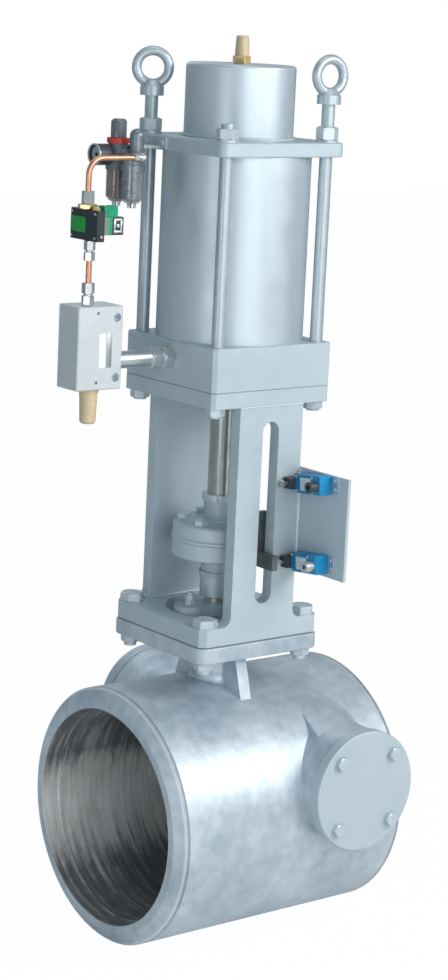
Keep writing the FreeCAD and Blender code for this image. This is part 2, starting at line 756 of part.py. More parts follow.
def shaft_bushes():
    """Bushes that carry the disc shaft in the body."""
    made = []
    inner = BORE_R + BUSH_RECESS
    for y0 in (-inner - BUSH_LENGTH, inner, FAR_FACE - BUSH_LENGTH - BUSH_RECESS):
        y1 = y0 + BUSH_LENGTH
        bush = rod_y(SHAFT_R + BUSH_WALL, y0, y1, SHAFT_FROM_STEM, SHAFT_HEIGHT)
        made.append(bush.cut(rod_y(SHAFT_R + RUN_FIT, y0 - 1, y1 + 1, SHAFT_FROM_STEM, SHAFT_HEIGHT)))
    return made


def hinge_shaft():
    """Cross shaft that the disc and the crank are keyed to."""
    return rod_y(SHAFT_R, SHAFT_END_GAP - NEAR_FACE, FAR_FACE - SHAFT_END_GAP, SHAFT_FROM_STEM, SHAFT_HEIGHT)


def disc_seat():
    """Tilted web across the bore with the conical seat cut through it."""
    low = -SEAT_T / 2
    grow = math.tan(math.radians(SEAT_CONE))
    slab = Part.makeBox(3 * BORE_R, 3 * BORE_R, SEAT_T, V(-1.5 * BORE_R, -1.5 * BORE_R, low))
    gap = SEAT_GAP / math.cos(math.radians(SEAT_CONE))
    hole = Part.makeCone(SEAT_R + gap - (low - 1) * grow, SEAT_R + gap - (-low + 1) * grow, SEAT_T + 2,
                         V(0, 0, low - 1))
    return tilted(slab.cut(hole)).common(rod_x(BORE_R, OUTLET_X, INLET_X))


def tilting_disc():
    """Conical-edged disc with a domed front and two lugs on the shaft."""
    low = -DISC_T / 2
    grow = math.tan(math.radians(SEAT_CONE))
    back_r = SEAT_R - low * grow
    front_r = SEAT_R + low * grow
    dome_r = front_r - DISC_RIM
    dish_r = SEAT_R - DISH_FROM_EDGE
    disc = spun([(0.0, low + DISH_DEPTH), (dish_r, low + DISH_DEPTH), (dish_r + DISH_SLOPE, low),
                 (back_r, low), (front_r, -low), (dome_r, -low, dome_r * 0.55, -low + DISC_DOME * 0.72),
                 (DISC_FLAT_R, -low + DISC_DOME), (0.0, -low + DISC_DOME)])
    up = shaft_in_disc_frame()
    lugs = []
    for side in (-1, 1):
        y0 = side * DISC_LUG_Y - DISC_LUG_T / 2
        lug = Part.makeCylinder(DISC_HUB_R, DISC_LUG_T, V(up, y0, -DISC_FROM_SHAFT), V(0, 1, 0))
        foot = low + DISH_DEPTH + WEB_SINK
        web = [V(up - WEB_BELOW, y0, foot),
               V(up - DISC_HUB_R * 0.8, y0, -DISC_FROM_SHAFT - DISC_HUB_R * 0.43),
               V(up + DISC_HUB_R * 0.9, y0, -DISC_FROM_SHAFT + DISC_HUB_R * 0.11),
               V(up + WEB_ABOVE, y0, foot)]
        lugs.append(lug.fuse(Part.Face(Part.makePolygon(web + web[:1])).extrude(V(0, DISC_LUG_T, 0))))
    disc = tilted(disc.fuse(lugs))
    return disc.cut(hinge_shaft()).removeSplitter()


def balance_weight():
    """Block on the back of the disc that balances its longer lower part."""
    low = -DISC_T / 2
    inner = SEAT_R - WEIGHT_FROM_EDGE - WEIGHT_L
    dish_r = SEAT_R - DISH_FROM_EDGE
    block = Part.makeBox(WEIGHT_L, 2 * WEIGHT_HALF_W, WEIGHT_T, V(inner, -WEIGHT_HALF_W, low - WEIGHT_T))
    round_off = Part.makeCylinder(SEAT_R, DISC_T + 2 * WEIGHT_T, V(0, 0, low - WEIGHT_T))
    seat = spun([(0.0, low + DISH_DEPTH), (dish_r, low + DISH_DEPTH), (dish_r + DISH_SLOPE, low),
                 (SEAT_R, low), (SEAT_R, 0.0), (0.0, 0.0)])
    foot = Part.makeBox(dish_r - 1.0 - inner, 2 * WEIGHT_HALF_W, DISH_DEPTH, V(inner, -WEIGHT_HALF_W, low))
    return tilted(block.fuse(foot).common(round_off).cut(seat).removeSplitter())


def crank_arm():
    """Slotted crank on the shaft that the stem pin drives."""
    half = CRANK_T / 2
    near = CRANK_SLOT_RUN - SHAFT_FROM_STEM
    far = -CRANK_FAR - CRANK_SLOT_RUN
    hub = rod_y(CRANK_HUB_R, -half - CRANK_HUB_STEP, half + CRANK_HUB_STEP)
    pts = [V(0, -half, CRANK_HUB_R * 0.92), V(-CRANK_END + CRANK_HALF_W, -half, CRANK_HALF_W),
           V(-CRANK_END + CRANK_HALF_W, -half, -CRANK_HALF_W), V(0, -half, -CRANK_HUB_R * 0.92)]
    arm = Part.Face(Part.makePolygon(pts + pts[:1])).extrude(V(0, CRANK_T, 0))
    tip = rod_y(CRANK_HALF_W, -half, half, -CRANK_END + CRANK_HALF_W, 0)
    slot = box(far, near, -half - 1, half + 1, -CRANK_SLOT_R, CRANK_SLOT_R)
    slot = slot.fuse([rod_y(CRANK_SLOT_R, -half - 1, half + 1, x, 0) for x in (far, near)])
    shaft_bore = rod_y(SHAFT_R, -half - CRANK_HUB_STEP - 1, half + CRANK_HUB_STEP + 1)
    arm = hub.fuse([arm, tip]).cut([slot, shaft_bore])
    arm = arm.removeSplitter()
    arm.Placement = FreeCAD.Placement(SHAFT_AT, FreeCAD.Rotation(V(0, 1, 0), -CRANK_SWING))
    return arm


def valve_stem():
    """Stem with a forked lower end for the crank and a plain upper end."""
    top = COUPLING_Z - 18.0
    stem = rod_z(STEM_R, PIN_Z - FORK_BELOW_PIN, top)
    gap = CRANK_T / 2 + FORK_GAP
    fork = box(-STEM_R - 1, STEM_R + 1, -gap, gap, PIN_Z - FORK_BELOW_PIN - 1, PIN_Z + FORK_ABOVE_PIN)
    hole = rod_y(CRANK_PIN_R, -STEM_R - 1, STEM_R + 1, 0, PIN_Z)
    return stem.cut([fork, hole])


def stem_pin():
    """Pin through the fork and the crank's slot."""
    pin = rod_y(CRANK_PIN_R, -STEM_R, STEM_R, 0, PIN_Z)
    return pin.common(rod_z(STEM_R, PIN_Z - 2 * CRANK_PIN_R, PIN_Z + 2 * CRANK_PIN_R))


def stem_packing():
    """Square packing rings round the stem."""
    made = []
    for i in range(PACKING_RINGS):
        z = PACKING_Z + i * PACKING_RING_H
        made.append(tube_z(BOX_R, STEM_R + RUN_FIT, z, z + PACKING_RING_H))
    return made


def gland_flange():
    """Two-stud gland with the nose that presses the packing."""
    z0 = GLAND_Z
    end = GLAND_STUD_X + GLAND_END_L - GLAND_END_R
    bar = box(-end, end, -GLAND_END_R, GLAND_END_R, z0, z0 + GLAND_T)
    bar = bar.fuse([rod_z(GLAND_END_R, z0, z0 + GLAND_T, -end), rod_z(GLAND_END_R, z0, z0 + GLAND_T, end),
                    rod_z(BOX_R - 0.3, PACKING_TOP, z0 + 1)])
    holes = [rod_z(STEM_R + RUN_FIT, PACKING_TOP - 1, z0 + GLAND_T + 1)]
    for side in (-1, 1):
        holes.append(rod_z(GLAND_STUD_R + 0.5, z0 - 1, z0 + GLAND_T + 1, side * GLAND_STUD_X))
    return bar.cut(holes).removeSplitter()


def gland_studs():
    """Gland studs, each with a nut and a lock nut."""
    made = []
    top = GLAND_Z + GLAND_T
    tip = top + 2 * GLAND_NUT_H + GLAND_STUD_TIP
    for side in (-1, 1):
        x = side * GLAND_STUD_X
        made.append(rod_z(GLAND_STUD_R, GASKET_Z - GLAND_STUD_DEPTH, tip, x))
        for i, turn in ((0, 0.0), (1, 18.0)):
            made.append(hex_nut(GLAND_NUT_AF, GLAND_NUT_H, V(x, 0, top + i * GLAND_NUT_H), V(0, 0, 1),
                                GLAND_STUD_R + THREAD_GAP, turn))
    return made


def yoke_frame():
    """Welded yoke: base plate, two columns, one slotted, and top flange."""
    base = square_plate(YOKE_BASE_HALF, BASE_Z, BASE_TOP, YOKE_CHAMFER, False)
    top = square_plate(YOKE_TOP_HALF, COLUMN_TOP, HEAD_Z, TOP_CHAMFER, False)
    base = base.cut(rod_z(YOKE_BASE_HOLE_R, BASE_Z - 1, BASE_TOP + 1))
    top = top.cut(rod_z(YOKE_TOP_HOLE_R, COLUMN_TOP - 1, HEAD_Z + 1))
    columns = [column(-1), column(1)]
    frame = base.fuse([top] + columns)
    frame = drill_corners(frame, BASE_Z, BASE_TOP)
    return drill_corners(frame, COLUMN_TOP, HEAD_Z).removeSplitter()


def column(side):
    """One yoke column with flared feet; the near one has the striker's slot."""
    w, r = COLUMN_HALF_W, COLUMN_FOOT_R
    z0, z1 = BASE_TOP - 1.0, COLUMN_TOP + 1.0
    foot = BASE_TOP
    y0 = COLUMN_Y if side > 0 else -COLUMN_Y - COLUMN_T
    k = 1 - math.sqrt(0.5)
    edges = [Part.makeLine(V(-w - r, y0, z0), V(w + r, y0, z0)),
             Part.makeLine(V(w + r, y0, z0), V(w + r, y0, foot)),
             Part.Arc(V(w + r, y0, foot), V(w + r * k, y0, foot + r * k), V(w, y0, foot + r)).toShape(),
             Part.makeLine(V(w, y0, foot + r), V(w, y0, z1)),
             Part.makeLine(V(w, y0, z1), V(-w, y0, z1)),
             Part.makeLine(V(-w, y0, z1), V(-w, y0, foot + r)),
             Part.Arc(V(-w, y0, foot + r), V(-w - r * k, y0, foot + r * k), V(-w - r, y0, foot)).toShape(),
             Part.makeLine(V(-w - r, y0, foot), V(-w - r, y0, z0))]
    plate = Part.Face(Part.Wire(edges)).extrude(V(0, COLUMN_T, 0))
    if side > 0:
        return plate
    low = BASE_TOP + SLOT_FOOT + SLOT_HALF_W
    high = COLUMN_TOP - SLOT_HEAD - SLOT_HALF_W
    slot = box(-SLOT_HALF_W, SLOT_HALF_W, y0 - 1, y0 + COLUMN_T + 1, low, high)
    ends = [rod_y(SLOT_HALF_W, y0 - 1, y0 + COLUMN_T + 1, 0, z) for z in (low, high)]
    return plate.cut(slot.fuse(ends))


def base_bolts():
    """Bolts and nuts between the body flange and the yoke."""
    made = []
    for i, (sx, sy) in enumerate(CORNERS):
        x, y = sx * PITCH, sy * PITCH
        head = hex_head(BASE_HEAD_AF, BASE_HEAD_H, V(x, y, BASE_TOP), V(0, 0, 1), 30 + 8 * i)
        made.append(head.fuse(rod_z(BOLT_R, FLANGE_Z - LOW_NUT_H - ROD_TIP, BASE_TOP + 1, x, y)))
        made.append(hex_nut(LOW_NUT_AF, LOW_NUT_H, V(x, y, FLANGE_Z - LOW_NUT_H), V(0, 0, 1),
                            BOLT_R + THREAD_GAP, 24 - 6 * i))
    return made


def lower_head():
    """Square lower head with the rod guide's bore and the air port."""
    head = square_plate(HEAD_HALF, HEAD_Z, HEAD_TOP, TOP_CHAMFER, False, PLATE_EDGE)
    head = head.fuse(rod_z(CYL_BORE_R - SPIGOT_PLAY, HEAD_TOP - 1, HEAD_TOP + SPIGOT_H))
    guide = ROD_R + ROD_BUSH_WALL
    rise = CYL_BORE_R - 45.0
    head = head.cut([rod_z(guide, HEAD_Z - 1, HEAD_TOP + SPIGOT_H + 1),
                     rod_x(PORT_R, -HEAD_HALF - 1, -rise, 0, PORT_Z),
                     rod_z(PORT_R * 0.7, PORT_Z, HEAD_TOP + SPIGOT_H + 1, -rise - PORT_R * 0.7)])
    return drill_corners(head, HEAD_Z, HEAD_TOP)


def rod_bush():
    """Flanged bush that guides the piston rod."""
    r = ROD_R + ROD_BUSH_WALL
    z1 = HEAD_Z + ROD_BUSH_H
    bush = rod_z(r, HEAD_Z, z1).fuse(rod_z(YOKE_TOP_HOLE_R - 2.0, HEAD_Z - 6.0, HEAD_Z))
    return bush.cut(rod_z(ROD_R + RUN_FIT, HEAD_Z - 7, z1 + 1)).removeSplitter()


def actuator_seals():
    """Rod seal in the lower head and rings under both ends of the barrel."""
    z0 = HEAD_Z + ROD_BUSH_H
    rod_seal = tube_z(ROD_R + ROD_BUSH_WALL, ROD_R + RUN_FIT, z0, z0 + 16.0)
    foot = HEAD_TOP + SPIGOT_H
    low = tube_z(CYL_BORE_R - SPIGOT_PLAY + 0.25, CYL_BORE_R - 4.0, foot, foot + 0.2)
    return [rod_seal, low]


def cylinder_barrel():
    """Plain cylinder tube."""
    return tube_z(BARREL_R, CYL_BORE_R, HEAD_TOP, PLATE_Z)


def top_plate():
    """Top plate, open in the middle for the spring."""
    plate = square_plate(TOP_HALF, PLATE_Z, PLATE_TOP, TOP_ROUND, True, PLATE_EDGE)
    plate = plate.fuse(rod_z(CYL_BORE_R - SPIGOT_PLAY, PLATE_Z - SPIGOT_H, PLATE_Z + 1))
    plate = plate.cut(rod_z(CAN_R - CAN_WALL, PLATE_Z - SPIGOT_H - 1, PLATE_TOP + 1))
    return drill_corners(plate, PLATE_Z, PLATE_TOP).removeSplitter()


def spring_canister():
    """Welded can over the closing spring, with a vent hole in its lid."""
    inner = CAN_R - CAN_WALL
    rim = corner_arc(CAN_R, CAN_TOP - CAN_ROUND, CAN_R - CAN_ROUND, CAN_TOP)
    return spun([(inner, PLATE_TOP), (CAN_R + CAN_WELD, PLATE_TOP), (CAN_R, PLATE_TOP + CAN_WELD),
                 (CAN_R, CAN_TOP - CAN_ROUND, rim[0], rim[1]), (CAN_R - CAN_ROUND, CAN_TOP),
                 (VENT_R, CAN_TOP), (VENT_R, CAN_TOP - CAN_WALL), (inner, CAN_TOP - CAN_WALL)])


def tie_rods():
    """Four tie rods; the two under the lifting eyes are longer."""
    made = []
    for corner in CORNERS:
        top = PLATE_TOP + WASHER_T + top_nut_height(corner) + ROD_TIP
        if corner in EYE_TURNS:
            top += EYE_ROD_EXTRA
        made.append(rod_z(BOLT_R, COLUMN_TOP - LOW_NUT_H - 3.0, top, corner[0] * PITCH, corner[1] * PITCH))
    return made


def top_nut_height(corner):
    """The nuts under the lifting eyes are taller than the other two."""
    return EYE_NUT_H if corner in EYE_TURNS else NUT_H


def tie_rod_nuts():
    """Nuts and washers at both ends of the tie rods."""
    made = []
    for i, (sx, sy) in enumerate(CORNERS):
        x, y = sx * PITCH, sy * PITCH
        made.append(tube_z(WASHER_R, BOLT_R + 0.3, PLATE_TOP, PLATE_TOP + WASHER_T, x, y))
        made.append(hex_nut(BOLT_AF, top_nut_height((sx, sy)), V(x, y, PLATE_TOP + WASHER_T), V(0, 0, 1),
                            BOLT_R + THREAD_GAP, 12 + 9 * i))
        made.append(hex_nut(LOW_NUT_AF, LOW_NUT_H, V(x, y, COLUMN_TOP - LOW_NUT_H), V(0, 0, 1),
                            BOLT_R + THREAD_GAP, 27 - 7 * i))
    return made


def lifting_eye_nuts():
    """Lifting eye nuts on the two long tie rods."""
    made = []
    for (sx, sy), turn in EYE_TURNS.items():
        x, y = sx * PITCH, sy * PITCH
        top = PLATE_TOP + WASHER_T + EYE_NUT_H + ROD_TIP + EYE_ROD_EXTRA
        z0 = top - EYE_BOSS_H + 5.0
        z1 = z0 + EYE_BOSS_H
        boss = spun([(0.0, z0), (EYE_BOSS_R, z0), (EYE_BOSS_R, z1 - 8.0), (EYE_BAR_R + 4.0, z1 + 4.0),
                     (0.0, z1 + 4.0)])
        centre = z1 + EYE_RING_R - EYE_RING_SINK
        ring = Part.makeTorus(EYE_RING_R, EYE_BAR_R, V(0, 0, centre), V(0, 1, 0))
        eye = boss.fuse(ring).cut([rod_z(BOLT_R + THREAD_GAP, z0 - 1, top + 1),
                                   rod_y(EYE_RING_R - EYE_BAR_R - 1.5, -EYE_BOSS_R, EYE_BOSS_R, 0, centre)])
        eye.Placement = FreeCAD.Placement(V(x, y, 0), FreeCAD.Rotation(V(0, 0, 1), -turn))
        made.append(eye)
    return made


def piston():
    """Cast piston, hollow above its web, with two seal grooves."""
    r = CYL_BORE_R - RUN_FIT
    z0, z1 = PISTON_Z, PISTON_Z + PISTON_H
    hub = ROD_NUT_AF / 2 + 10.0
    ring = spun([(ROD_TENON_R, z0), (r, z0), (r, z1), (r - PISTON_RIM, z1), (r - PISTON_RIM, WEB_TOP),
                 (hub, WEB_TOP), (hub, WEB_TOP + 6.0), (ROD_TENON_R, WEB_TOP + 6.0)])
    for z in piston_seal_heights():
        groove = tube_z(r + 1, r - PISTON_SEAL_D, z, z + PISTON_SEAL_H)
        ring = ring.cut(groove)
    return ring


def piston_seal_heights():
    """Lower edges of the two seal grooves."""
    return (PISTON_Z + PISTON_H * 0.2, PISTON_Z + PISTON_H * 0.64)


def piston_seals():
    """Two piston rings."""
    r = CYL_BORE_R - RUN_FIT
    return [tube_z(r, r - PISTON_SEAL_D, z, z + PISTON_SEAL_H) for z in piston_seal_heights()]


def piston_rod():
    """Rod from the coupling to the piston, stepped at the piston."""
    top = WEB_TOP + 6.0 + ROD_NUT_H + 6.0
    return spun([(0.0, COUPLING_Z + 2.0), (ROD_R, COUPLING_Z + 2.0), (ROD_R, PISTON_Z),
                 (ROD_TENON_R, PISTON_Z), (ROD_TENON_R, top), (0.0, top)])


def rod_nuts():
    """Piston nut, slotted lock collar above the coupling and threaded sleeve below it."""
    up = V(0, 0, 1)
    top = COUPLING_Z + COUPLING_T + UPPER_HUB_H
    low = COUPLING_Z - COUPLING_T - LOWER_HUB_H
    collar = tube_z(LOCK_COLLAR_R, ROD_R + THREAD_GAP, top, top + LOCK_COLLAR_H)
    half = LOCK_SLOT_W / 2
    for i in range(LOCK_COLLAR_SLOTS):
        inner = LOCK_COLLAR_R - LOCK_SLOT_D
        slot = box(inner, LOCK_COLLAR_R + 1, -half, half, top - 1, top + LOCK_COLLAR_H + 1)
        slot.rotate(V(0, 0, 0), up, 360.0 / LOCK_COLLAR_SLOTS * (i + 0.5))
        collar = collar.cut(slot)
    return [hex_nut(ROD_NUT_AF, ROD_NUT_H, V(0, 0, WEB_TOP + 6.0), up, ROD_TENON_R + THREAD_GAP),
            collar,
            stem_sleeve(low)]


def stem_sleeve(top):
    """Round sleeve screwed on the stem, up against the coupling."""
    r, edge, bore = STEM_SLEEVE_R, STEM_SLEEVE_EDGE, STEM_R + THREAD_GAP
    low = top - STEM_SLEEVE_H
    return spun([(bore, low), (r - edge, low), (r, low + edge), (r, top), (bore, top)])


def closing_spring():
    """Coil spring between the piston and the lid of the can."""
    z0 = WEB_TOP + REST_GAP
    z1 = CAN_TOP - CAN_WALL - REST_GAP
    rise = z1 - z0 - 2 * SPRING_WIRE_R
    helix = Part.makeHelix(rise / SPRING_TURNS, rise, SPRING_R)
    ring = Part.Wire(Part.makeCircle(SPRING_WIRE_R, V(SPRING_R, 0, 0), V(0, 1, 0)))
    coil = Part.Wire(helix).makePipeShell([ring], True, True)
    coil.translate(V(0, 0, z0 + SPRING_WIRE_R))
    return coil


def coupling_bolt_places():
    """Bolt circle of the coupling."""
    for i in range(COUPLING_BOLTS):
        a = math.radians(360.0 / COUPLING_BOLTS * i + 21.0)
        yield COUPLING_BOLT_CIRCLE * math.cos(a), COUPLING_BOLT_CIRCLE * math.sin(a)


def coupling_upper():
    """Upper half of the coupling, on the piston rod."""
    z0, z1 = COUPLING_Z, COUPLING_Z + COUPLING_T
    rim = corner_arc(COUPLING_R, z1 - COUPLING_ROUND, COUPLING_R - COUPLING_ROUND, z1)
    lip = COUPLING_R + COUPLING_LIP
    half = spun([(0.0, z0), (lip, z0), (lip, z0 + 5.0), (COUPLING_R, z0 + 7.0),
                 (COUPLING_R, z1 - COUPLING_ROUND, rim[0], rim[1]), (COUPLING_R - COUPLING_ROUND, z1),
                 (COUPLING_HUB_R + 2.0, z1), (COUPLING_HUB_R, z1 + 4.0), (COUPLING_HUB_R, z1 + UPPER_HUB_H),
                 (0.0, z1 + UPPER_HUB_H)])
    holes = [rod_z(COUPLING_BOLT_R + 0.5, z0 - 1, z1 + 1, x, y) for x, y in coupling_bolt_places()]
    return half.cut(holes + [rod_z(ROD_R, z0 + 2.0, z1 + UPPER_HUB_H + 1)])


def coupling_lower():
    """Lower half of the coupling, on the stem."""
    z0, z1 = COUPLING_Z - COUPLING_T, COUPLING_Z
    low = z0 - LOWER_HUB_H
    collar = COUPLING_HUB_R + HUB_COLLAR
    half = spun([(0.0, low), (collar, low), (collar, low + HUB_COLLAR_H),
                 (COUPLING_HUB_R, low + HUB_COLLAR_H), (COUPLING_HUB_R, z0),
                 (COUPLING_R - 3.0, z0), (COUPLING_R, z0 + 3.0),
                 (COUPLING_R, z1 - 2.0), (COUPLING_R - 2.0, z1), (0.0, z1)])
    holes = [rod_z(COUPLING_BOLT_R, z1 - COUPLING_BOLT_BITE, z1 + 1, x, y) for x, y in coupling_bolt_places()]
    return half.cut(holes + [rod_z(STEM_R, low - 1, COUPLING_Z - 18.0)])


def coupling_bolts():
    """Bolts of the coupling, screwed into its lower half."""
    made = []
    top = COUPLING_Z + COUPLING_T
    for x, y in coupling_bolt_places():
        head = hex_head(COUPLING_BOLT_AF, COUPLING_BOLT_HEAD, V(x, y, top), V(0, 0, 1))
        made.append(head.fuse(rod_z(COUPLING_BOLT_R - THREAD_GAP, COUPLING_Z - COUPLING_BOLT_BITE + 2.0,
                                    top + 1, x, y)))
    return made


def striker():
    """Bar that reaches through the slot to the rollers, on an upright pad beside the coupling."""
    x1 = ROLLER_LEFT - STRIKER_GAP
    x0 = x1 - STRIKER_T
    y0 = -COLUMN_Y - COLUMN_T - STRIKER_OUT
    pad_y = -COUPLING_R - COUPLING_LIP - 1.0
    low, high = ROLLER_Z - STRIKER_H / 2, ROLLER_Z + STRIKER_H / 2
    bar = box(x0, x1, y0, -COUPLING_R * 0.9, low, high)
    pad = box(x0, x0 + STRIKER_PAD_W, pad_y - STRIKER_PAD_T, pad_y, low, high + STRIKER_PAD_RISE)
    foot = box(x0, x0 + STRIKER_PAD_W, pad_y - 1.0, -COUPLING_R * 0.9, low, high)
    rim = rod_z(COUPLING_R + RUN_FIT, low - 1.0, COUPLING_Z)
    return bar.fuse([pad, foot]).cut(rim).removeSplitter()


def silencers():
    """Sintered silencers on the can and under the quick-exhaust block."""
    z0 = CAN_TOP + BRASS_BUSH_H
    r = TOP_SILENCER_R
    top = spun([(0.0, z0), (r, z0), (r * 0.89, z0 + TOP_SILENCER_H - 3.0), (r * 0.72, z0 + TOP_SILENCER_H),
                (0.0, z0 + TOP_SILENCER_H)])
    z1 = BLOCK_Z - LOW_SILENCER_BASE
    z2 = z1 - LOW_SILENCER_H
    r = LOW_SILENCER_R
    low = spun([(0.0, z2), (r * 0.72, z2), (r * 0.88, z2 + 4.0), (r, z1), (r + 1.5, z1), (r + 1.5, BLOCK_Z),
                (0.0, BLOCK_Z)], V(BLOCK_MID, 0, 0))
    return [top, low]


def switch_plate():
    """Plate that stands out from the near column and carries the switches."""
    z0 = BASE_TOP + PLATE_FOOT
    y1 = -COLUMN_Y - 2.0
    return box(PLATE_X, PLATE_X + PLATE_T, -YOKE_BASE_HALF - PLATE_OUT, y1, z0, z0 + PLATE_H)


def limit_switch(level):
    """Roller switch: oblong body, plunger head, cable gland and end lug."""
    x0, x1 = PLATE_X - SWITCH_W, PLATE_X
    y1 = ROLLER_Y - HEAD_BLOCK / 2
    y0 = y1 - SWITCH_L
    body = box(x0, x1, y0, y1, level - SWITCH_H / 2, level + SWITCH_H / 2)
    lengthwise = [e for e in body.Edges if e.BoundBox.YLength > SWITCH_L - 1]
    body = body.makeFillet(SWITCH_ROUND, lengthwise)
    entry = (y0 + SWITCH_ENTRY, level - CABLE_GLAND_DROP)
    gland = rod_x(CABLE_GLAND_R, x0 - CABLE_GLAND_L, x0, entry[0], entry[1])
    lug_half = SWITCH_H / 2 - END_BRACKET_STEP
    lug = box(x1 - END_BRACKET_T, x1, y0 - END_BRACKET_L, y0, level - lug_half, level + lug_half)
    hole = rod_x(CABLE_HOLE_R, x0 - CABLE_GLAND_L - 1, x0 + CABLE_HOLE_DEPTH, entry[0], entry[1])
    body = body.fuse([gland, lug]).cut(hole)
    body.rotate(V(0, ROLLER_Y, level), V(1, 0, 0), -SWITCH_TILT)
    tall = HEAD_BLOCK / 2
    head = box(SWITCH_HEAD_X, x1 - HEAD_BACK, y1 - HEAD_SEAT, y1 + HEAD_BLOCK, level - tall, level + tall)
    bore = rod_x(PLUNGER_R + RUN_FIT, SWITCH_HEAD_X - 1, x0 + PLUNGER_DEPTH, ROLLER_Y, level)
    return body.fuse(head).cut(bore).removeSplitter()


def switch_roller(level):
    """Sprung plunger with its roller."""
    mid = ROLLER_LEFT + ROLLER_R
    end = PLATE_X - SWITCH_W + PLUNGER_DEPTH - PLUNGER_TRAVEL - 1.0
    wheel = rod_y(ROLLER_R, ROLLER_Y - ROLLER_W / 2, ROLLER_Y + ROLLER_W / 2, mid, level)
    stalk = rod_x(PLUNGER_R, mid, end, ROLLER_Y, level)
    return wheel.fuse(stalk)


def exhaust_block():
    """Quick-exhaust block with its valve chamber and three ports."""
    half = BLOCK_W / 2
    block = box(BLOCK_X0, BLOCK_X1, -half, half, BLOCK_Z, BLOCK_TOP)
    block = block.makeChamfer(BLOCK_EDGE, block.Edges)
    seat = chamber_z() + EXHAUST_SEAT_H
    chamber = rod_z(CHAMBER_R, chamber_z(), chamber_z() + CHAMBER_H, BLOCK_MID)
    chamber = chamber.cut(rod_z(EXHAUST_SEAT_R, chamber_z() - 1, seat, BLOCK_MID))
    inner = BLOCK_MID + EXHAUST_R + 13.0
    cuts = [chamber, rod_z(EXHAUST_R, BLOCK_Z + 20.0, seat + 1, BLOCK_MID),
            rod_z(TUBE_R - TUBE_WALL, chamber_z() + CHAMBER_H - 1, BLOCK_TOP + 1, RISER_X, LINK_Y),
            rod_x(PORT_R, inner, BLOCK_X1 + 1, 0, PORT_Z),
            rod_z(5.5, PORT_Z, chamber_z() + 1, inner - 3.0)]
    for dx, dz in ((-13.0, 21.0), (-13.0, BLOCK_H - 21.0)):
        x, z = BLOCK_X1 + dx, BLOCK_TOP - dz
        cuts.append(rod_y(7.5, -half - 1, -half + 7.0, x, z))
        cuts.append(rod_y(4.5, -half - 1, half + 1, x, z))
    for dz in (12.0, BLOCK_H - 14.0):
        cuts.append(rod_y(3.0, -half - 1, -half + 9.0, BLOCK_X1 - 55.0, BLOCK_TOP - dz))
    return block.cut(cuts)


def chamber_z():
    """Floor of the valve chamber in the quick-exhaust block."""
    return PORT_Z + 22.0


def exhaust_poppet():
    """Loose disc that shuts the exhaust seat or the supply passage."""
    z0 = chamber_z() + EXHAUST_SEAT_H + REST_GAP
    return rod_z(POPPET_R, z0, z0 + POPPET_T, BLOCK_MID)


def pipe_union():
    """Pipe nipple and union between the block and the lower head."""
    x1 = -HEAD_HALF
    x0 = x1 - UNION_L
    z = PORT_Z
    nipple = rod_x(NIPPLE_R, BLOCK_X1, x0, 0, z)
    nut = hex_nut(UNION_AF, UNION_L * 0.46, V(x0, 0, z), V(1, 0, 0), 0, 10.0)
    ring = rod_x(UNION_AF / 2 - 2.0, x0 + UNION_L * 0.46, x0 + UNION_L * 0.56, 0, z)
    body = hex_nut(UNION_AF, UNION_L * 0.44, V(x0 + UNION_L * 0.56, 0, z), V(1, 0, 0), 0, 22.0)
    joint = nipple.fuse([nut, ring, body])
    return joint.cut(rod_x(NIPPLE_HOLE_R, BLOCK_X1 - 1, x1 + 1, 0, z)).removeSplitter()


def copper_tubes():
    """Copper pipe from the air set to the solenoid valve, and on to the block."""
    x0 = AIR_X
    pts = [V(x0 - TUBE_IN_ELBOW, 0, AIR_Z), V(RISER_X + TUBE_BEND, 0, AIR_Z)]
    k = TUBE_BEND * (1 - math.sqrt(0.5))
    bend = Part.Arc(pts[1], V(RISER_X + k, 0, AIR_Z - k), V(RISER_X, 0, AIR_Z - TUBE_BEND)).toShape()
    down = Part.makeLine(V(RISER_X, 0, AIR_Z - TUBE_BEND), V(RISER_X, 0, RISER_NUT_Z + TUBE_IN_NUT))
    path = Part.Wire([Part.makeLine(pts[0], pts[1]), bend, down])
    rings = [Part.Wire(Part.makeCircle(r, pts[0], V(1, 0, 0))) for r in (TUBE_R, TUBE_R - TUBE_WALL)]
    outer, inner = [path.makePipeShell([ring], True, False) for ring in rings]
    link = tube_z(TUBE_R, TUBE_R - TUBE_WALL, LINK_Z - TUBE_IN_FITTING,
                  LINK_Z + LINK_TUBE_H + TUBE_IN_FITTING, RISER_X, LINK_Y)
    return [outer.cut(inner), link]


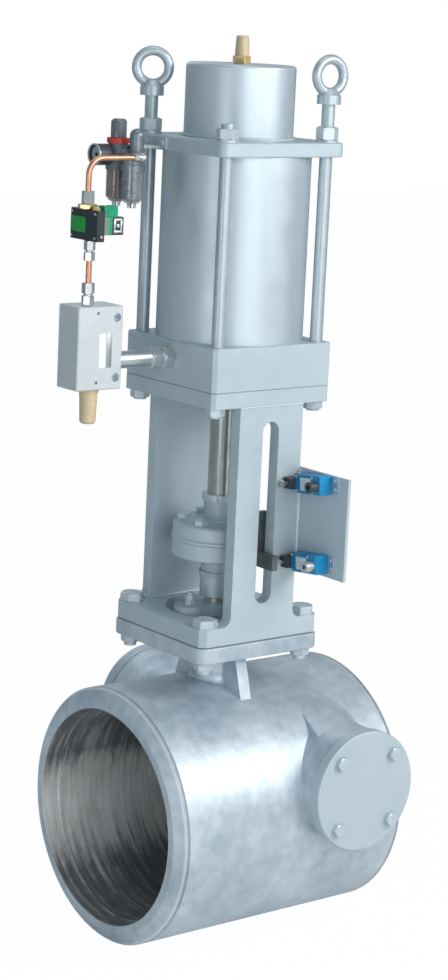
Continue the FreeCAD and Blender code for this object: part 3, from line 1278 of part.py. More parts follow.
def tube_fittings():
    """Compression fittings, elbow, brass adaptor and the vent's brass bush."""
    up = V(0, 0, 1)
    bore = TUBE_R + THREAD_GAP
    hole = TUBE_R - TUBE_WALL
    made = []
    for z0, length, af in ((BLOCK_TOP, BLOCK_FITTING_H, FITTING_AF),
                           (LINK_Z + LINK_TUBE_H, VALVE_FITTING_H, SMALL_FITTING_AF)):
        z1 = z0 + length * FITTING_NUT_SHARE
        z2 = z1 + length * FITTING_WAIST_SHARE
        first = hex_nut(af, z1 - z0, V(RISER_X, LINK_Y, z0), up, 0, 12.0)
        waist = rod_z(af / 2 - FITTING_WAIST_STEP, z1, z2, RISER_X, LINK_Y)
        second = hex_nut(af, z0 + length - z2, V(RISER_X, LINK_Y, z2), up, 0, 30.0)
        made.append(first.fuse([waist, second]))
    made[0] = made[0].cut([rod_z(hole, BLOCK_TOP - 1, LINK_Z + 1, RISER_X, LINK_Y),
                           rod_z(bore, LINK_Z - TUBE_IN_FITTING, LINK_Z + 1, RISER_X, LINK_Y)])
    z = LINK_Z + LINK_TUBE_H
    made[1] = made[1].cut([rod_z(hole, z - 1, SOLENOID_Z + 1, RISER_X, LINK_Y),
                           rod_z(bore, z - 1, z + TUBE_IN_FITTING, RISER_X, LINK_Y)])
    brass = hex_nut(BRASS_AF, BRASS_H, V(RISER_X, 0, SOLENOID_TOP), up, hole, 8.0)
    nut = hex_nut(FITTING_AF, TOP_FITTING_H, V(RISER_X, 0, RISER_NUT_Z), up, bore, 20.0)
    plug = hexagon(VALVE_PLUG_AF, VALVE_PLUG_H, V(RISER_X, VALVE_PLUG_Y, SOLENOID_TOP), up)
    made += [brass, nut, plug, outlet_elbow()]
    made.append(hex_nut(BRASS_BUSH_AF, BRASS_BUSH_H, V(0, 0, CAN_TOP), up, VENT_R, 5.0))
    return made


def outlet_elbow():
    """Elbow from the lubricator's outlet into the copper pipe."""
    y1 = LUBRICATOR_Y - AIR_BODY_R
    neck = rod_y(ELBOW_R, 0, y1, AIR_X, AIR_Z)
    shoulder = hexagon(ELBOW_HEX_AF, ELBOW_HEX_H, V(AIR_X, y1 - ELBOW_HEX_H, AIR_Z), V(0, 1, 0))
    knee = Part.makeSphere(ELBOW_BALL_R, V(AIR_X, 0, AIR_Z))
    start = AIR_X - TUBE_IN_ELBOW
    end = start - ELBOW_HEX_H
    arm = rod_x(ELBOW_R, start, AIR_X, 0, AIR_Z)
    nut = hexagon(ELBOW_NUT_AF, ELBOW_HEX_H, V(end, 0, AIR_Z), V(1, 0, 0))
    elbow = neck.fuse([shoulder, knee, arm, nut])
    return elbow.cut([rod_x(TUBE_R + THREAD_GAP, end - 1, start, 0, AIR_Z),
                      rod_x(TUBE_R - TUBE_WALL, end - 1, AIR_X, 0, AIR_Z),
                      rod_y(TUBE_R - TUBE_WALL, 0, y1 + 1, AIR_X, AIR_Z)]).removeSplitter()


def solenoid_valve():
    """Flat solenoid valve body on the copper riser."""
    x0 = RISER_X - SOLENOID_T / 2
    body = box(x0, x0 + SOLENOID_T, -SOLENOID_NEAR, SOLENOID_FAR, SOLENOID_Z, SOLENOID_TOP)
    body = body.makeFillet(SOLENOID_ROUND, body.Edges)
    r = TUBE_R - TUBE_WALL
    mid = (SOLENOID_Z + SOLENOID_TOP) / 2
    passages = [rod_z(r, SOLENOID_Z - 1, mid, RISER_X, LINK_Y),
                rod_z(r, mid - 2 * r, SOLENOID_TOP + 1, RISER_X),
                rod_y(r, LINK_Y, 0, RISER_X, mid - r)]
    button = rod_y(BUTTON_R + RUN_FIT, -SOLENOID_NEAR - 1, -SOLENOID_NEAR + BUTTON_WELL, RISER_X,
                   SOLENOID_Z + BUTTON_RISE)
    return body.cut(passages + [button])


def manual_button():
    """Sprung override button of the solenoid valve."""
    return rod_y(BUTTON_R, -SOLENOID_NEAR - BUTTON_OUT, -SOLENOID_NEAR + BUTTON_IN, RISER_X,
                 SOLENOID_Z + BUTTON_RISE)


def pilot_coil():
    """Pilot coil with its plug, beside the solenoid valve."""
    x0 = RISER_X + SOLENOID_T / 2
    z0 = SOLENOID_Z + COIL_RISE
    z1 = z0 + COIL_H
    half = COIL_W / 2
    coil = box(x0, x0 + COIL_L, COIL_Y - half, COIL_Y + half, z0, z1)
    coil = coil.makeFillet(COIL_ROUND, [e for e in coil.Edges if e.BoundBox.XLength > COIL_L - 5])
    half = PLUG_W / 2
    plug = box(x0 + PLUG_START, x0 + PLUG_START + PLUG_L, COIL_Y - half, COIL_Y + half, z1, z1 + PLUG_H)
    plug = plug.makeFillet(PLUG_ROUND, [e for e in plug.Edges if e.BoundBox.ZLength > PLUG_H - 2])
    nut = rod_x(COIL_NUT_R, x0 + COIL_L, x0 + COIL_L + COIL_NUT_H, COIL_Y, z0 + COIL_H / 2)
    entry_z = z1 + PLUG_H - COIL_ENTRY_L
    entry = rod_z(COIL_ENTRY_R, entry_z, z1 + PLUG_H + 1, x0 + PLUG_START + PLUG_L / 2, COIL_Y)
    return [coil.fuse(nut), plug.cut(entry)]


def air_set_bracket():
    """Angle bracket that hangs the air set on the top plate."""
    x0 = AIR_X + AIR_BODY_R + 1.0
    y0, y1 = LUBRICATOR_Y - 6.0, REGULATOR_Y + 14.0
    tab = box(-TOP_HALF - BRACKET_T, -TOP_HALF, y0, y1, PLATE_Z + 3.0, PLATE_TOP - 3.0)
    arm = box(x0, -TOP_HALF - 4.0, y0 + 18.0, y1 - 18.0, PLATE_Z + 3.0, PLATE_Z + 8.0)
    down = box(AIR_X + AIR_BODY_R - 6.0, x0 + 4.0, y0 + 18.0, y1 - 18.0, AIR_Z + 1.0, PLATE_Z + 8.0)
    clamp = box(AIR_X - 6.0, AIR_X + AIR_BODY_R - 2.0, LUBRICATOR_Y + 17.0, REGULATOR_Y - 17.0, AIR_Z + 1.0,
                AIR_Z + 10.0)
    mid = (PLATE_Z + PLATE_TOP) / 2
    bolt_x = -TOP_HALF - BRACKET_T - BRACKET_BOLT_H
    heads = [hexagon(BRACKET_BOLT_AF, BRACKET_BOLT_H, V(bolt_x, y, mid), V(1, 0, 0))
             for y in (y0 + BRACKET_BOLT_IN, y1 - BRACKET_BOLT_IN)]
    housings = [rod_z(r + RUN_FIT, AIR_Z - COLLAR_H, AIR_Z + 40.0, AIR_X, y)
                for r, y in ((BONNET_R, REGULATOR_Y), (AIR_BODY_R, LUBRICATOR_Y))]
    return tab.fuse([arm, down, clamp] + heads).cut(housings).removeSplitter()


def bowl_bottom():
    """Lowest level of the two bowls."""
    return AIR_Z - HOUSING_DROP - COLLAR_H - BOWL_H


def housing_foot(z0, roof):
    """Outline of a housing's open foot, which holds its bowl, up to the top of its collar."""
    inner = BOWL_R - BOWL_WALL
    lip = AIR_BODY_R + COLLAR_LIP
    return [(0.0, roof), (inner, roof), (inner, z0), (lip, z0), (lip, z0 + COLLAR_LIP_H),
            (AIR_BODY_R, z0 + COLLAR_LIP_H + COLLAR_SLOPE)]


def regulator():
    """Filter-regulator housing with its bonnet and lock ring."""
    z1 = AIR_Z - HOUSING_DROP
    z0 = z1 - COLLAR_H
    x, y = AIR_X, REGULATOR_Y
    bonnet = [(AIR_BODY_R, z1), (BONNET_R, z1 + BONNET_STEP), (BONNET_R, z1 + BONNET_H), (0.0, z1 + BONNET_H)]
    body = spun(housing_foot(z0, z1 - REGULATOR_ROOF) + bonnet, V(x, y, 0))
    face = y + AIR_BODY_R + SUPPLY_BOSS_L
    port = rod_y(SUPPLY_BOSS_R, y, face, x, AIR_Z)
    stub = rod_x(GAUGE_STUB_R, x - AIR_BODY_R - GAUGE_NECK, x, y, AIR_Z)
    body = body.fuse([port, stub])
    body = body.cut([rod_y(SUPPLY_PORT_R, face - SUPPLY_PORT_L, face + 1, x, AIR_Z)])
    ring_z = z1 + BONNET_H
    ring = tube_z(LOCK_RING_R, SPINDLE_R + SPINDLE_ROOM, ring_z, ring_z + LOCK_RING_H, x, y)
    spindle = rod_z(SPINDLE_R, ring_z, ring_z + LOCK_RING_H + SPINDLE_H, x, y)
    return [body.removeSplitter().fuse(spindle), ring]


def regulator_knob():
    """Ribbed adjusting knob of the regulator."""
    z0 = AIR_Z - HOUSING_DROP + BONNET_H + LOCK_RING_H + REST_GAP
    x, y = AIR_X, REGULATOR_Y
    r = KNOB_R
    knob = spun([(0.0, z0), (r, z0), (r, z0 + KNOB_H - KNOB_EDGE), (r - KNOB_EDGE, z0 + KNOB_H),
                 (0.0, z0 + KNOB_H)], V(x, y, 0))
    cuts = [rod_z(SPINDLE_R + RUN_FIT, z0 - 1, z0 + SPINDLE_H + 1, x, y)]
    ring = r + FLUTE_OUT
    for i in range(KNOB_FLUTES):
        a = 2 * math.pi * i / KNOB_FLUTES
        cuts.append(rod_z(FLUTE_R, z0 - 1, z0 + KNOB_H - FLUTE_BELOW_TOP, x + ring * math.cos(a),
                          y + ring * math.sin(a)))
    return knob.cut(cuts)


def pressure_gauge():
    """Gauge case, open at the front over its dial."""
    x1 = AIR_X - AIR_BODY_R - GAUGE_NECK
    x0 = x1 - GAUGE_L
    case = rod_x(GAUGE_R, x0, x1, REGULATOR_Y, AIR_Z)
    well = rod_x(GAUGE_R - GAUGE_RIM, x0 - 1, x0 + GAUGE_WELL, REGULATOR_Y, AIR_Z)
    spindle = rod_x(POINTER_AXLE_R + RUN_FIT, x0 - 1, x0 + GAUGE_WELL + 3.0, REGULATOR_Y, AIR_Z)
    return case.cut([well, spindle])


def gauge_pointer():
    """Pointer of the gauge, at zero."""
    x0 = AIR_X - AIR_BODY_R - GAUGE_NECK - GAUGE_L
    x1 = x0 + GAUGE_WELL / 2
    x2 = x1 + POINTER_T
    half = POINTER_W / 2
    axle = rod_x(POINTER_AXLE_R, x1, x0 + GAUGE_WELL + 2.0, REGULATOR_Y, AIR_Z)
    hub = rod_x(POINTER_HUB_R, x1, x2, REGULATOR_Y, AIR_Z)
    hand = box(x1, x2, REGULATOR_Y - half, REGULATOR_Y + half, AIR_Z - POINTER_TAIL, AIR_Z + POINTER_L)
    pointer = axle.fuse([hub, hand])
    pointer.rotate(V(x0, REGULATOR_Y, AIR_Z), V(1, 0, 0), POINTER_ZERO)
    return pointer


def lubricator():
    """Lubricator housing with its sight dome."""
    z0 = AIR_Z - HOUSING_DROP - COLLAR_H
    z1 = AIR_Z + LUBRICATOR_RISE
    x, y = AIR_X, LUBRICATOR_Y
    body = spun(housing_foot(z0, z1 - LUBRICATOR_ROOF) + [(AIR_BODY_R, z1), (0.0, z1)], V(x, y, 0))
    top = z1 + DOME_H - DOME_R
    k = math.sqrt(0.5) * DOME_R
    dome = spun([(0.0, z1 - 1.0), (DOME_R, z1 - 1.0), (DOME_R, top, k, top + k), (0.0, top + DOME_R)],
                V(x + DOME_SHIFT, y, 0))
    link = rod_y(LINK_PORT_R, y + AIR_BODY_R / 2, REGULATOR_Y - AIR_BODY_R, x, AIR_Z - LINK_PORT_DROP)
    link = link.fuse(rod_y(ELBOW_R, LUBRICATOR_Y - AIR_BODY_R, y, x, AIR_Z))
    return body.fuse([dome, link]).removeSplitter()


def air_bowls():
    """Clear bowls of the filter and the lubricator."""
    made = []
    low = bowl_bottom()
    top = low + BOWL_H
    hole = DRAIN_STEM_R + RUN_FIT
    floor = low + BOWL_FLOOR
    for y in (REGULATOR_Y, LUBRICATOR_Y):
        r, w = BOWL_R, BOWL_WALL
        outer = [(hole, low), (r - BOWL_SLOPE + 1.0, low), (r, low + BOWL_SLOPE), (r, top)]
        inner = [(r - w, top), (r - w, low + BOWL_SLOPE + 1.0), (r - BOWL_SLOPE, floor), (hole, floor)]
        made.append(spun(outer + inner, V(AIR_X, y, 0)))
    return made


def filter_element():
    """Sintered filter element under the regulator and the lubricator's siphon."""
    top = AIR_Z - HOUSING_DROP - REGULATOR_ROOF
    z0 = AIR_Z - COLLAR_H - ELEMENT_H
    core = tube_z(ELEMENT_R, ELEMENT_HOLE_R, z0, top, AIR_X, REGULATOR_Y)
    roof = AIR_Z + LUBRICATOR_RISE - LUBRICATOR_ROOF
    siphon = tube_z(SIPHON_R, SIPHON_HOLE_R, bowl_bottom() + SIPHON_FOOT, roof, AIR_X, LUBRICATOR_Y)
    return [core, siphon]


def bowl_drain(y):
    """Winged drain cock that turns in the bottom of a bowl."""
    low = bowl_bottom()
    half = DRAIN_WING_T / 2
    cock = rod_z(DRAIN_R * DRAIN_COCK_SHARE, low - DRAIN_H, low - REST_GAP, AIR_X, y)
    collar = rod_z(DRAIN_R, low - DRAIN_COLLAR_H, low - REST_GAP, AIR_X, y)
    wing_top = low - DRAIN_COLLAR_H + 0.5
    wing = box(AIR_X - DRAIN_R, AIR_X + DRAIN_R, y - half, y + half, low - DRAIN_H, wing_top)
    stem = rod_z(DRAIN_STEM_R, low - 1, low + DRAIN_STEM_L, AIR_X, y)
    return cock.fuse([collar, wing, stem]).removeSplitter()


def parts_list():
    """Every node with its solids."""
    upper = ROLLER_Z + STROKE
    return {
        "valve_body": valve_body(),
        "disc_seat": disc_seat(),
        "side_covers": side_covers(),
        "flange_gaskets": flange_gaskets(),
        "cover_bolts": cover_bolts(),
        "shaft_bushes": shaft_bushes(),
        "hinge_shaft": hinge_shaft(),
        "tilting_disc": tilting_disc(),
        "balance_weight": balance_weight(),
        "crank_arm": crank_arm(),
        "valve_stem": valve_stem(),
        "stem_pin": stem_pin(),
        "stem_packing": stem_packing(),
        "gland_flange": gland_flange(),
        "gland_studs": gland_studs(),
        "yoke_frame": yoke_frame(),
        "base_bolts": base_bolts(),
        "lower_head": lower_head(),
        "rod_bush": rod_bush(),
        "actuator_seals": actuator_seals(),
        "cylinder_barrel": cylinder_barrel(),
        "top_plate": top_plate(),
        "spring_canister": spring_canister(),
        "tie_rods": tie_rods(),
        "tie_rod_nuts": tie_rod_nuts(),
        "lifting_eye_nuts": lifting_eye_nuts(),
        "piston": piston(),
        "piston_seals": piston_seals(),
        "piston_rod": piston_rod(),
        "rod_nuts": rod_nuts(),
        "closing_spring": closing_spring(),
        "coupling_upper": coupling_upper(),
        "coupling_lower": coupling_lower(),
        "coupling_bolts": coupling_bolts(),
        "striker": striker(),
        "silencers": silencers(),
        "switch_plate": switch_plate(),
        "lower_switch": limit_switch(ROLLER_Z),
        "upper_switch": limit_switch(upper),
        "lower_roller": switch_roller(ROLLER_Z),
        "upper_roller": switch_roller(upper),
        "exhaust_block": exhaust_block(),
        "exhaust_poppet": exhaust_poppet(),
        "pipe_union": pipe_union(),
        "copper_tubes": copper_tubes(),
        "tube_fittings": tube_fittings(),
        "solenoid_valve": solenoid_valve(),
        "manual_button": manual_button(),
        "pilot_coil": pilot_coil(),
        "air_set_bracket": air_set_bracket(),
        "regulator": regulator(),
        "regulator_knob": regulator_knob(),
        "pressure_gauge": pressure_gauge(),
        "gauge_pointer": gauge_pointer(),
        "lubricator": lubricator(),
        "air_bowls": air_bowls(),
        "filter_element": filter_element(),
        "filter_drain": bowl_drain(REGULATOR_Y),
        "lubricator_drain": bowl_drain(LUBRICATOR_Y),
    }


def export_all():
    """Write one STEP file for each node, in the part's own frame."""
    os.makedirs("parts", exist_ok=True)
    for name, made in parts_list().items():
        solids = made if isinstance(made, list) else [made]
        shape = solids[0] if len(solids) == 1 else Part.makeCompound(solids)
        shape = shape.copy()
        shape.translate(V(STEM_FROM_OUTLET, 0, 0))
        shape.exportStep("parts/" + name + ".step")


export_all()
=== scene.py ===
import math
import bmesh
import bpy
from mathutils import Matrix, Vector


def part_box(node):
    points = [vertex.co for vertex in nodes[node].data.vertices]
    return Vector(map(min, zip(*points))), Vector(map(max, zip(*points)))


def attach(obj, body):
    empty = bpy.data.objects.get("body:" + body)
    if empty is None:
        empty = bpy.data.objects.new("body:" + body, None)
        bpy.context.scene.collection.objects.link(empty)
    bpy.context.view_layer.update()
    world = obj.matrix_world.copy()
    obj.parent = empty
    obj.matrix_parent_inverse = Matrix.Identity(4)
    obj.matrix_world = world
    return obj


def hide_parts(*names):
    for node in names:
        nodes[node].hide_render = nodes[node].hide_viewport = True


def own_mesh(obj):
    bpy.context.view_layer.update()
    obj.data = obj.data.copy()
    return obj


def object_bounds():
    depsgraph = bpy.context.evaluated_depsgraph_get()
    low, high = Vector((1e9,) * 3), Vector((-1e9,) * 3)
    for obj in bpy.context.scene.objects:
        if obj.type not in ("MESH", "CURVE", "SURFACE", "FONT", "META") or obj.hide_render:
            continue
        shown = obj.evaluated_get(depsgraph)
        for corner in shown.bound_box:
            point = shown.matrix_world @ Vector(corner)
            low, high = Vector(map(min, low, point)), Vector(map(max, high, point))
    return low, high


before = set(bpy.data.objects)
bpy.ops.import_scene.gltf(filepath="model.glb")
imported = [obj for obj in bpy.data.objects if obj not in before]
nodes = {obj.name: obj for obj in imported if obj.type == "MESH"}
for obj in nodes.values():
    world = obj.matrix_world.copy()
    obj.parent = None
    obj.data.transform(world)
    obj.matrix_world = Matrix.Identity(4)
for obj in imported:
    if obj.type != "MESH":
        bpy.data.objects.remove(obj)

cad_low, cad_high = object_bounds()


# Camera.
# The photograph looks slightly down on one weld end and the near side, and the camera was rolled by a few degrees.
# The picture is 448 by 980 pixels and its long side is the sensor's width.
picture_height = 980
sensor_width = 36.0
far_clip = 60.0
aim_height = 0.5914
focal_pixels = 2414.37
azimuth, elevation, roll = math.radians(-38.39), math.radians(11.56), math.radians(-2.70)
distance = 4.5916
aside, aloft = -0.00536, -0.01738
yoke_low, yoke_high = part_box("yoke_frame")
stem_x = (yoke_low.x + yoke_high.x) / 2
aim = Vector((stem_x, 0, aim_height))
back = Vector((math.sin(azimuth) * math.cos(elevation), -math.cos(azimuth) * math.cos(elevation),
               math.sin(elevation)))
right = Vector((math.cos(azimuth), math.sin(azimuth), 0))
above = back.cross(right)
across = right * math.cos(roll) - above * math.sin(roll)
upward = right * math.sin(roll) + above * math.cos(roll)
camera_data = bpy.data.cameras.new("camera")
camera_data.sensor_width = sensor_width
camera_data.lens = focal_pixels * sensor_width / picture_height
camera_data.clip_end = far_clip
camera = bpy.data.objects.new("camera", camera_data)
bpy.context.scene.collection.objects.link(camera)
turned = Matrix((across, upward, back)).transposed().to_4x4()
camera.matrix_world = Matrix.Translation(aim + back * distance - across * aside - upward * aloft) @ turned
bpy.context.scene.camera = camera
bpy.context.scene.view_settings.view_transform = "Standard"


# Shader writing.
# A Wire holds one socket of a material's node tree, so that finishes are written as arithmetic; the reflected
# operators let a number stand first, as in 1 - mask.
# add() makes any other node from its kind, its settings and the values or wires of its sockets; noise(),
# part() and tones() are the three kinds that most finishes use.
class Wire:
    def __init__(self, tree, socket=None):
        self.tree = tree
        self.socket = socket

    def add(self, kind, settings=None, sockets=None, output=0):
        node = self.tree.nodes.new("ShaderNode" + kind)
        for name, value in (settings or {}).items():
            if name == "stops":
                ramp = node.color_ramp
                while len(ramp.elements) < len(value):
                    ramp.elements.new(0.5)
                for element, (place, tone) in zip(ramp.elements, value):
                    element.position = place
                    element.color = (*tone, 1) if isinstance(tone, tuple) else (tone, tone, tone, 1)
            else:
                setattr(node, name, value)
        for name, value in (sockets or {}).items():
            if isinstance(value, Wire):
                self.tree.links.new(value.socket, node.inputs[name])
            else:
                node.inputs[name].default_value = value
        return Wire(self.tree, node.outputs[output])

    def maths(self, operation, *values):
        return self.add("Math", {"operation": operation}, dict(enumerate(values)))

    def noise(self, place, scale, detail, rough=0.5):
        return self.add("TexNoise", None, {"Vector": place, "Scale": scale, "Detail": detail, "Roughness": rough})

    def part(self, place, axis):
        return self.add("SeparateXYZ", None, {0: place}, output="XYZ".index(axis))

    def tones(self, factor, low, high):
        return self.add("Mix", {"data_type": "RGBA"}, {0: factor, 6: low, 7: high}, output=2)

    def __add__(self, other):
        return self.maths("ADD", self, other)

    __radd__ = __add__

    def __sub__(self, other):
        return self.maths("SUBTRACT", self, other)

    def __rsub__(self, other):
        return self.maths("SUBTRACT", other, self)

    def __mul__(self, other):
        return self.maths("MULTIPLY", self, other)

    __rmul__ = __mul__

    def __truediv__(self, other):
        return self.maths("DIVIDE", self, other)

    def __pow__(self, other):
        return self.maths("POWER", self, other)

    def __gt__(self, other):
        return self.maths("GREATER_THAN", self, other)

    def __lt__(self, other):
        return self.maths("LESS_THAN", self, other)


# Floor, backdrop and light.
# The floor lies just under the barrel of the valve and is nearly white to the camera. The world is white to the
# camera and through clear parts, and a dim blue room to the rest, a fifth white in reflections. Six soft lamps
# stand round the valve: two at the camera's right, a small one that shines into the bore and a weak blue one at
# its left, one behind, one above.
floor_level, floor_half = cad_low.z - 0.002, 14.0
floor_white, glossy_white, room_strength = 0.985, 0.20, 0.28
lamp_aim_height = 0.55
floor_mesh = bmesh.new()
bmesh.ops.create_grid(floor_mesh, x_segments=1, y_segments=1, size=floor_half)
bmesh.ops.translate(floor_mesh, verts=floor_mesh.verts, vec=(0, 0, floor_level))
floor_data = bpy.data.meshes.new("floor")
floor_mesh.to_mesh(floor_data)
floor_mesh.free()
floor = bpy.data.objects.new("floor", floor_data)
bpy.context.scene.collection.objects.link(floor)
floor_material = bpy.data.materials.new("pale_floor")
floor_material.use_nodes = True
tree = floor_material.node_tree
tree.nodes.clear()
start = Wire(tree)
seen = start.add("LightPath", output="Is Camera Ray")
matte = start.add("BsdfDiffuse", None, {"Color": (0.86, 0.86, 0.86, 1)})
white = start.add("Emission", None, {"Color": (1, 1, 1, 1), "Strength": 1.0})
shown = start.add("MixShader", None, {0: seen * floor_white, 1: matte, 2: white})
output = tree.nodes.new("ShaderNodeOutputMaterial")
tree.links.new(shown.socket, output.inputs["Surface"])
floor_data.materials.append(floor_material)

world = bpy.data.worlds.new("studio")
bpy.context.scene.world = world
world.use_nodes = True
tree = world.node_tree
tree.nodes.clear()
start = Wire(tree)
seen = start.add("LightPath", output="Is Camera Ray")
glossy = start.add("LightPath", output="Is Glossy Ray")
through = start.add("LightPath", output="Is Transmission Ray")
direct = seen.maths("MAXIMUM", seen.maths("MAXIMUM", seen, through), glossy * glossy_white)
room = start.add("Background", None, {"Color": (0.66, 0.86, 1.0, 1), "Strength": room_strength})
plain = start.add("Background", None, {"Color": (1, 1, 1, 1), "Strength": 1.0})
shown = start.add("MixShader", None, {0: direct, 1: room, 2: plain})
output = tree.nodes.new("ShaderNodeOutputWorld")
tree.links.new(shown.socket, output.inputs["Surface"])

lamp_aim = Vector((stem_x, 0, lamp_aim_height))
for name, bearing, height, reach, wide, tall, power, tint in (
        ("key_lamp", 27, 28, 4.2, 2.2, 2.0, 102, (1.0, 0.99, 0.98)),
        ("strip_lamp", -14, 12, 4.3, 2.8, 2.8, 55, (1.0, 1.0, 1.0)),
        ("bore_lamp", -68, 3, 3.6, 0.9, 0.7, 12, (0.96, 0.98, 1.0)),
        ("fill_lamp", -108, 16, 4.4, 2.6, 2.6, 5, (0.70, 0.86, 1.0)),
        ("back_lamp", 165, 30, 4.4, 2.6, 2.6, 20, (0.92, 0.97, 1.0)),
        ("top_lamp", -20, 82, 3.8, 2.2, 2.2, 18, (1.0, 1.0, 1.0))):
    lamp_data = bpy.data.lights.new(name, "AREA")
    lamp_data.shape = "RECTANGLE"
    lamp_data.size = wide
    lamp_data.size_y = tall
    lamp_data.energy = power
    lamp_data.color = tint
    lamp = bpy.data.objects.new(name, lamp_data)
    a, e = math.radians(bearing), math.radians(height)
    toward = Vector((math.sin(a) * math.cos(e), -math.cos(a) * math.cos(e), math.sin(e)))
    lamp.location = lamp_aim + toward * reach
    lamp.rotation_mode = "QUATERNION"
    lamp.rotation_quaternion = toward.to_track_quat("Z", "Y")
    bpy.context.scene.collection.objects.link(lamp)


# Painted pressure body.
# The forged barrel is brushed with cloudy silver-blue paint, with painted shade in the groove and a painted highlight
# line on the bevel edge at each end; inside, the bore is bare dark steel with turning rings and a painted highlight
# band. The covers are smoother.
bore_radius = 0.2072
# Height and reach of the painted highlight band in the bore.
highlight_height, highlight_reach = -0.045, 0.11
paint_light = (0.63, 0.70, 0.75, 1)
paint_dark = (0.40, 0.48, 0.55, 1)
bevel_back, groove_back, end_outside = 0.013, 0.019, 0.236
bevel_half, groove_half = 0.0022, 0.0030
# Tones of the painted shade in the end groove and of the painted highlight on the bevel edge.
groove_shade_tone, edge_highlight_tone = (0.15, 0.19, 0.22, 1), (0.88, 0.90, 0.91, 1)
body_stops = ((0.36, 0.0), (0.62, 1.0))
bore_stops = ((0.28, (0.06, 0.068, 0.075)), (0.45, (0.22, 0.225, 0.23)),
              (0.60, (0.70, 0.69, 0.67)), (0.78, (1.0, 1.0, 0.98)))
rings_per_metre, streak_turn = 95.0, 1.3
body_metal, body_rough = 0.50, 0.42
bore_less_metal, bore_more_rough = 0.40, 0.12
paint_stops, paint_rough_spots = ((0.34, 0.0), (0.66, 1.0)), 0.22


def new_finish(name):
    """Empty material with its shader, its object coordinates and a first wire."""
    material = bpy.data.materials.new(name)
    material.use_nodes = True
    shader = material.node_tree.nodes["Principled BSDF"]
    first = Wire(material.node_tree)
    place = first.add("TexCoord", output="Object")
    return material, shader, first, place


def feed(material, shader, **wires):
    """Link wires, or set plain values, on the shader's sockets by name."""
    for name, value in wires.items():
        socket = shader.inputs[name.replace("_", " ").title()]
        if isinstance(value, Wire):
            material.node_tree.links.new(value.socket, socket)
        else:
            socket.default_value = value


def rounded(first, height, strength, distance, radius):
    """Normal of a bumped surface whose edges are broken by a small radius."""
    edge = first.add("Bevel", {"samples": 4}, {"Radius": radius})
    return first.add("Bump", None, {"Strength": strength, "Distance": distance, "Height": height, "Normal": edge})


def paint(name, light, dark, cloud_size, cloud_depth, rough, metal, grain, edge):
    """Silver paint: cloudy tone, uneven gloss, fine grain and broken edges."""
    material, shader, first, place = new_finish(name)
    cloud = first.noise(place, cloud_size, 5.0, 0.62)
    spot = first.noise(place, cloud_size * 6.5, 3.0)
    fine = first.noise(place, 900.0, 2.0)
    shade = first.add("ValToRGB", {"stops": paint_stops}, {0: cloud * 0.7 + spot * 0.3})
    tone = first.tones(shade * cloud_depth + (1.0 - cloud_depth), dark, light)
    feed(material, shader, base_color=tone, metallic=metal,
         roughness=rough + (spot - 0.5) * paint_rough_spots + fine * 0.06)
    feed(material, shader, normal=rounded(first, fine * 0.4 + spot, grain, 0.0006, edge))
    return material


# The body's material carries painted shade and painted highlights besides its paint and bare bore.
body_material, shader, first, place = new_finish("silver_paint_and_bare_bore_with_painted_light")
along = first.part(place, "X")
side = first.part(place, "Y")
height = first.part(place, "Z")
from_axis = (side * side + height * height) ** 0.5
inside = from_axis < bore_radius
cloud = first.noise(place, 7.5, 6.0, 0.65)
spot = first.noise(place, 46.0, 4.0)
fine = first.noise(place, 700.0, 2.0)
shade = first.add("ValToRGB", {"stops": body_stops}, {0: cloud * 0.72 + spot * 0.28})
painted = first.tones(shade, paint_dark, paint_light)
angle = first.maths("ARCTAN2", side, height)
rings = first.add("CombineXYZ", None, {0: along * rings_per_metre, 1: angle * streak_turn, 2: 0.0})
streak = first.noise(rings, 1.0, 5.0, 0.7)
patch = first.noise(place, 9.0, 5.0, 0.7)
# Painted highlight: a lighter band a little below the axis of the bore stands for the lamps' reflection on its wall.
off_highlight = (height - highlight_height) / highlight_reach
painted_bore_highlight = first.maths("MAXIMUM", 1.0 - off_highlight * off_highlight, 0.0)
bare = first.add("ValToRGB", {"stops": bore_stops}, {0: streak * 0.56 + patch * 0.30 + painted_bore_highlight * 0.27})
body_low, body_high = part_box("valve_body")
from_end = first.maths("MINIMUM", along - body_low.x, body_high.x - along)
# Painted shade: the groove behind each end is darkened.
groove = first.maths("MAXIMUM", 1.0 - first.maths("ABSOLUTE", from_end - groove_back) / groove_half, 0.0)
# Painted highlight: a near-white line lightens the bevel edge at each end.
edge_highlight = first.maths("MAXIMUM", 1.0 - first.maths("ABSOLUTE", from_end - bevel_back) / bevel_half, 0.0)
groove_shaded = first.tones(groove * (from_axis > end_outside) * 0.6, painted, groove_shade_tone)
edge_lit = first.tones(edge_highlight * (from_axis > end_outside) * 0.7, groove_shaded, edge_highlight_tone)
tone = first.tones(inside, edge_lit, bare)
feed(body_material, shader, base_color=tone, metallic=body_metal - inside * bore_less_metal,
     roughness=body_rough + (spot - 0.5) * 0.25 + inside * (bore_more_rough + (streak - 0.5) * 0.3))
feed(body_material, shader, normal=rounded(first, (1.0 - inside) * (spot * 1.2 + fine * 0.2) + inside * streak * 1.5,
                                           0.35, 0.001, 0.0016))
cover_material = paint("cover_paint", (0.50, 0.58, 0.62, 1), (0.45, 0.53, 0.57, 1), 9.0, 0.8, 0.42, 0.2, 0.2, 0.0012)
finishes = {"valve_body": body_material, "side_covers": cover_material, "gland_flange": cover_material}


# Yoke, heads and coupling.
# Plates and turned parts have a smoother and less metallic coat of the same paint.
frame_material = paint("smooth_silver_blue_paint", (0.51, 0.60, 0.64, 1), (0.44, 0.52, 0.57, 1), 5.0, 0.75, 0.42,
                       0.25, 0.16, 0.0014)
for name in ("yoke_frame", "lower_head", "top_plate", "coupling_upper", "coupling_lower", "switch_plate",
             "air_set_bracket"):
    finishes[name] = frame_material


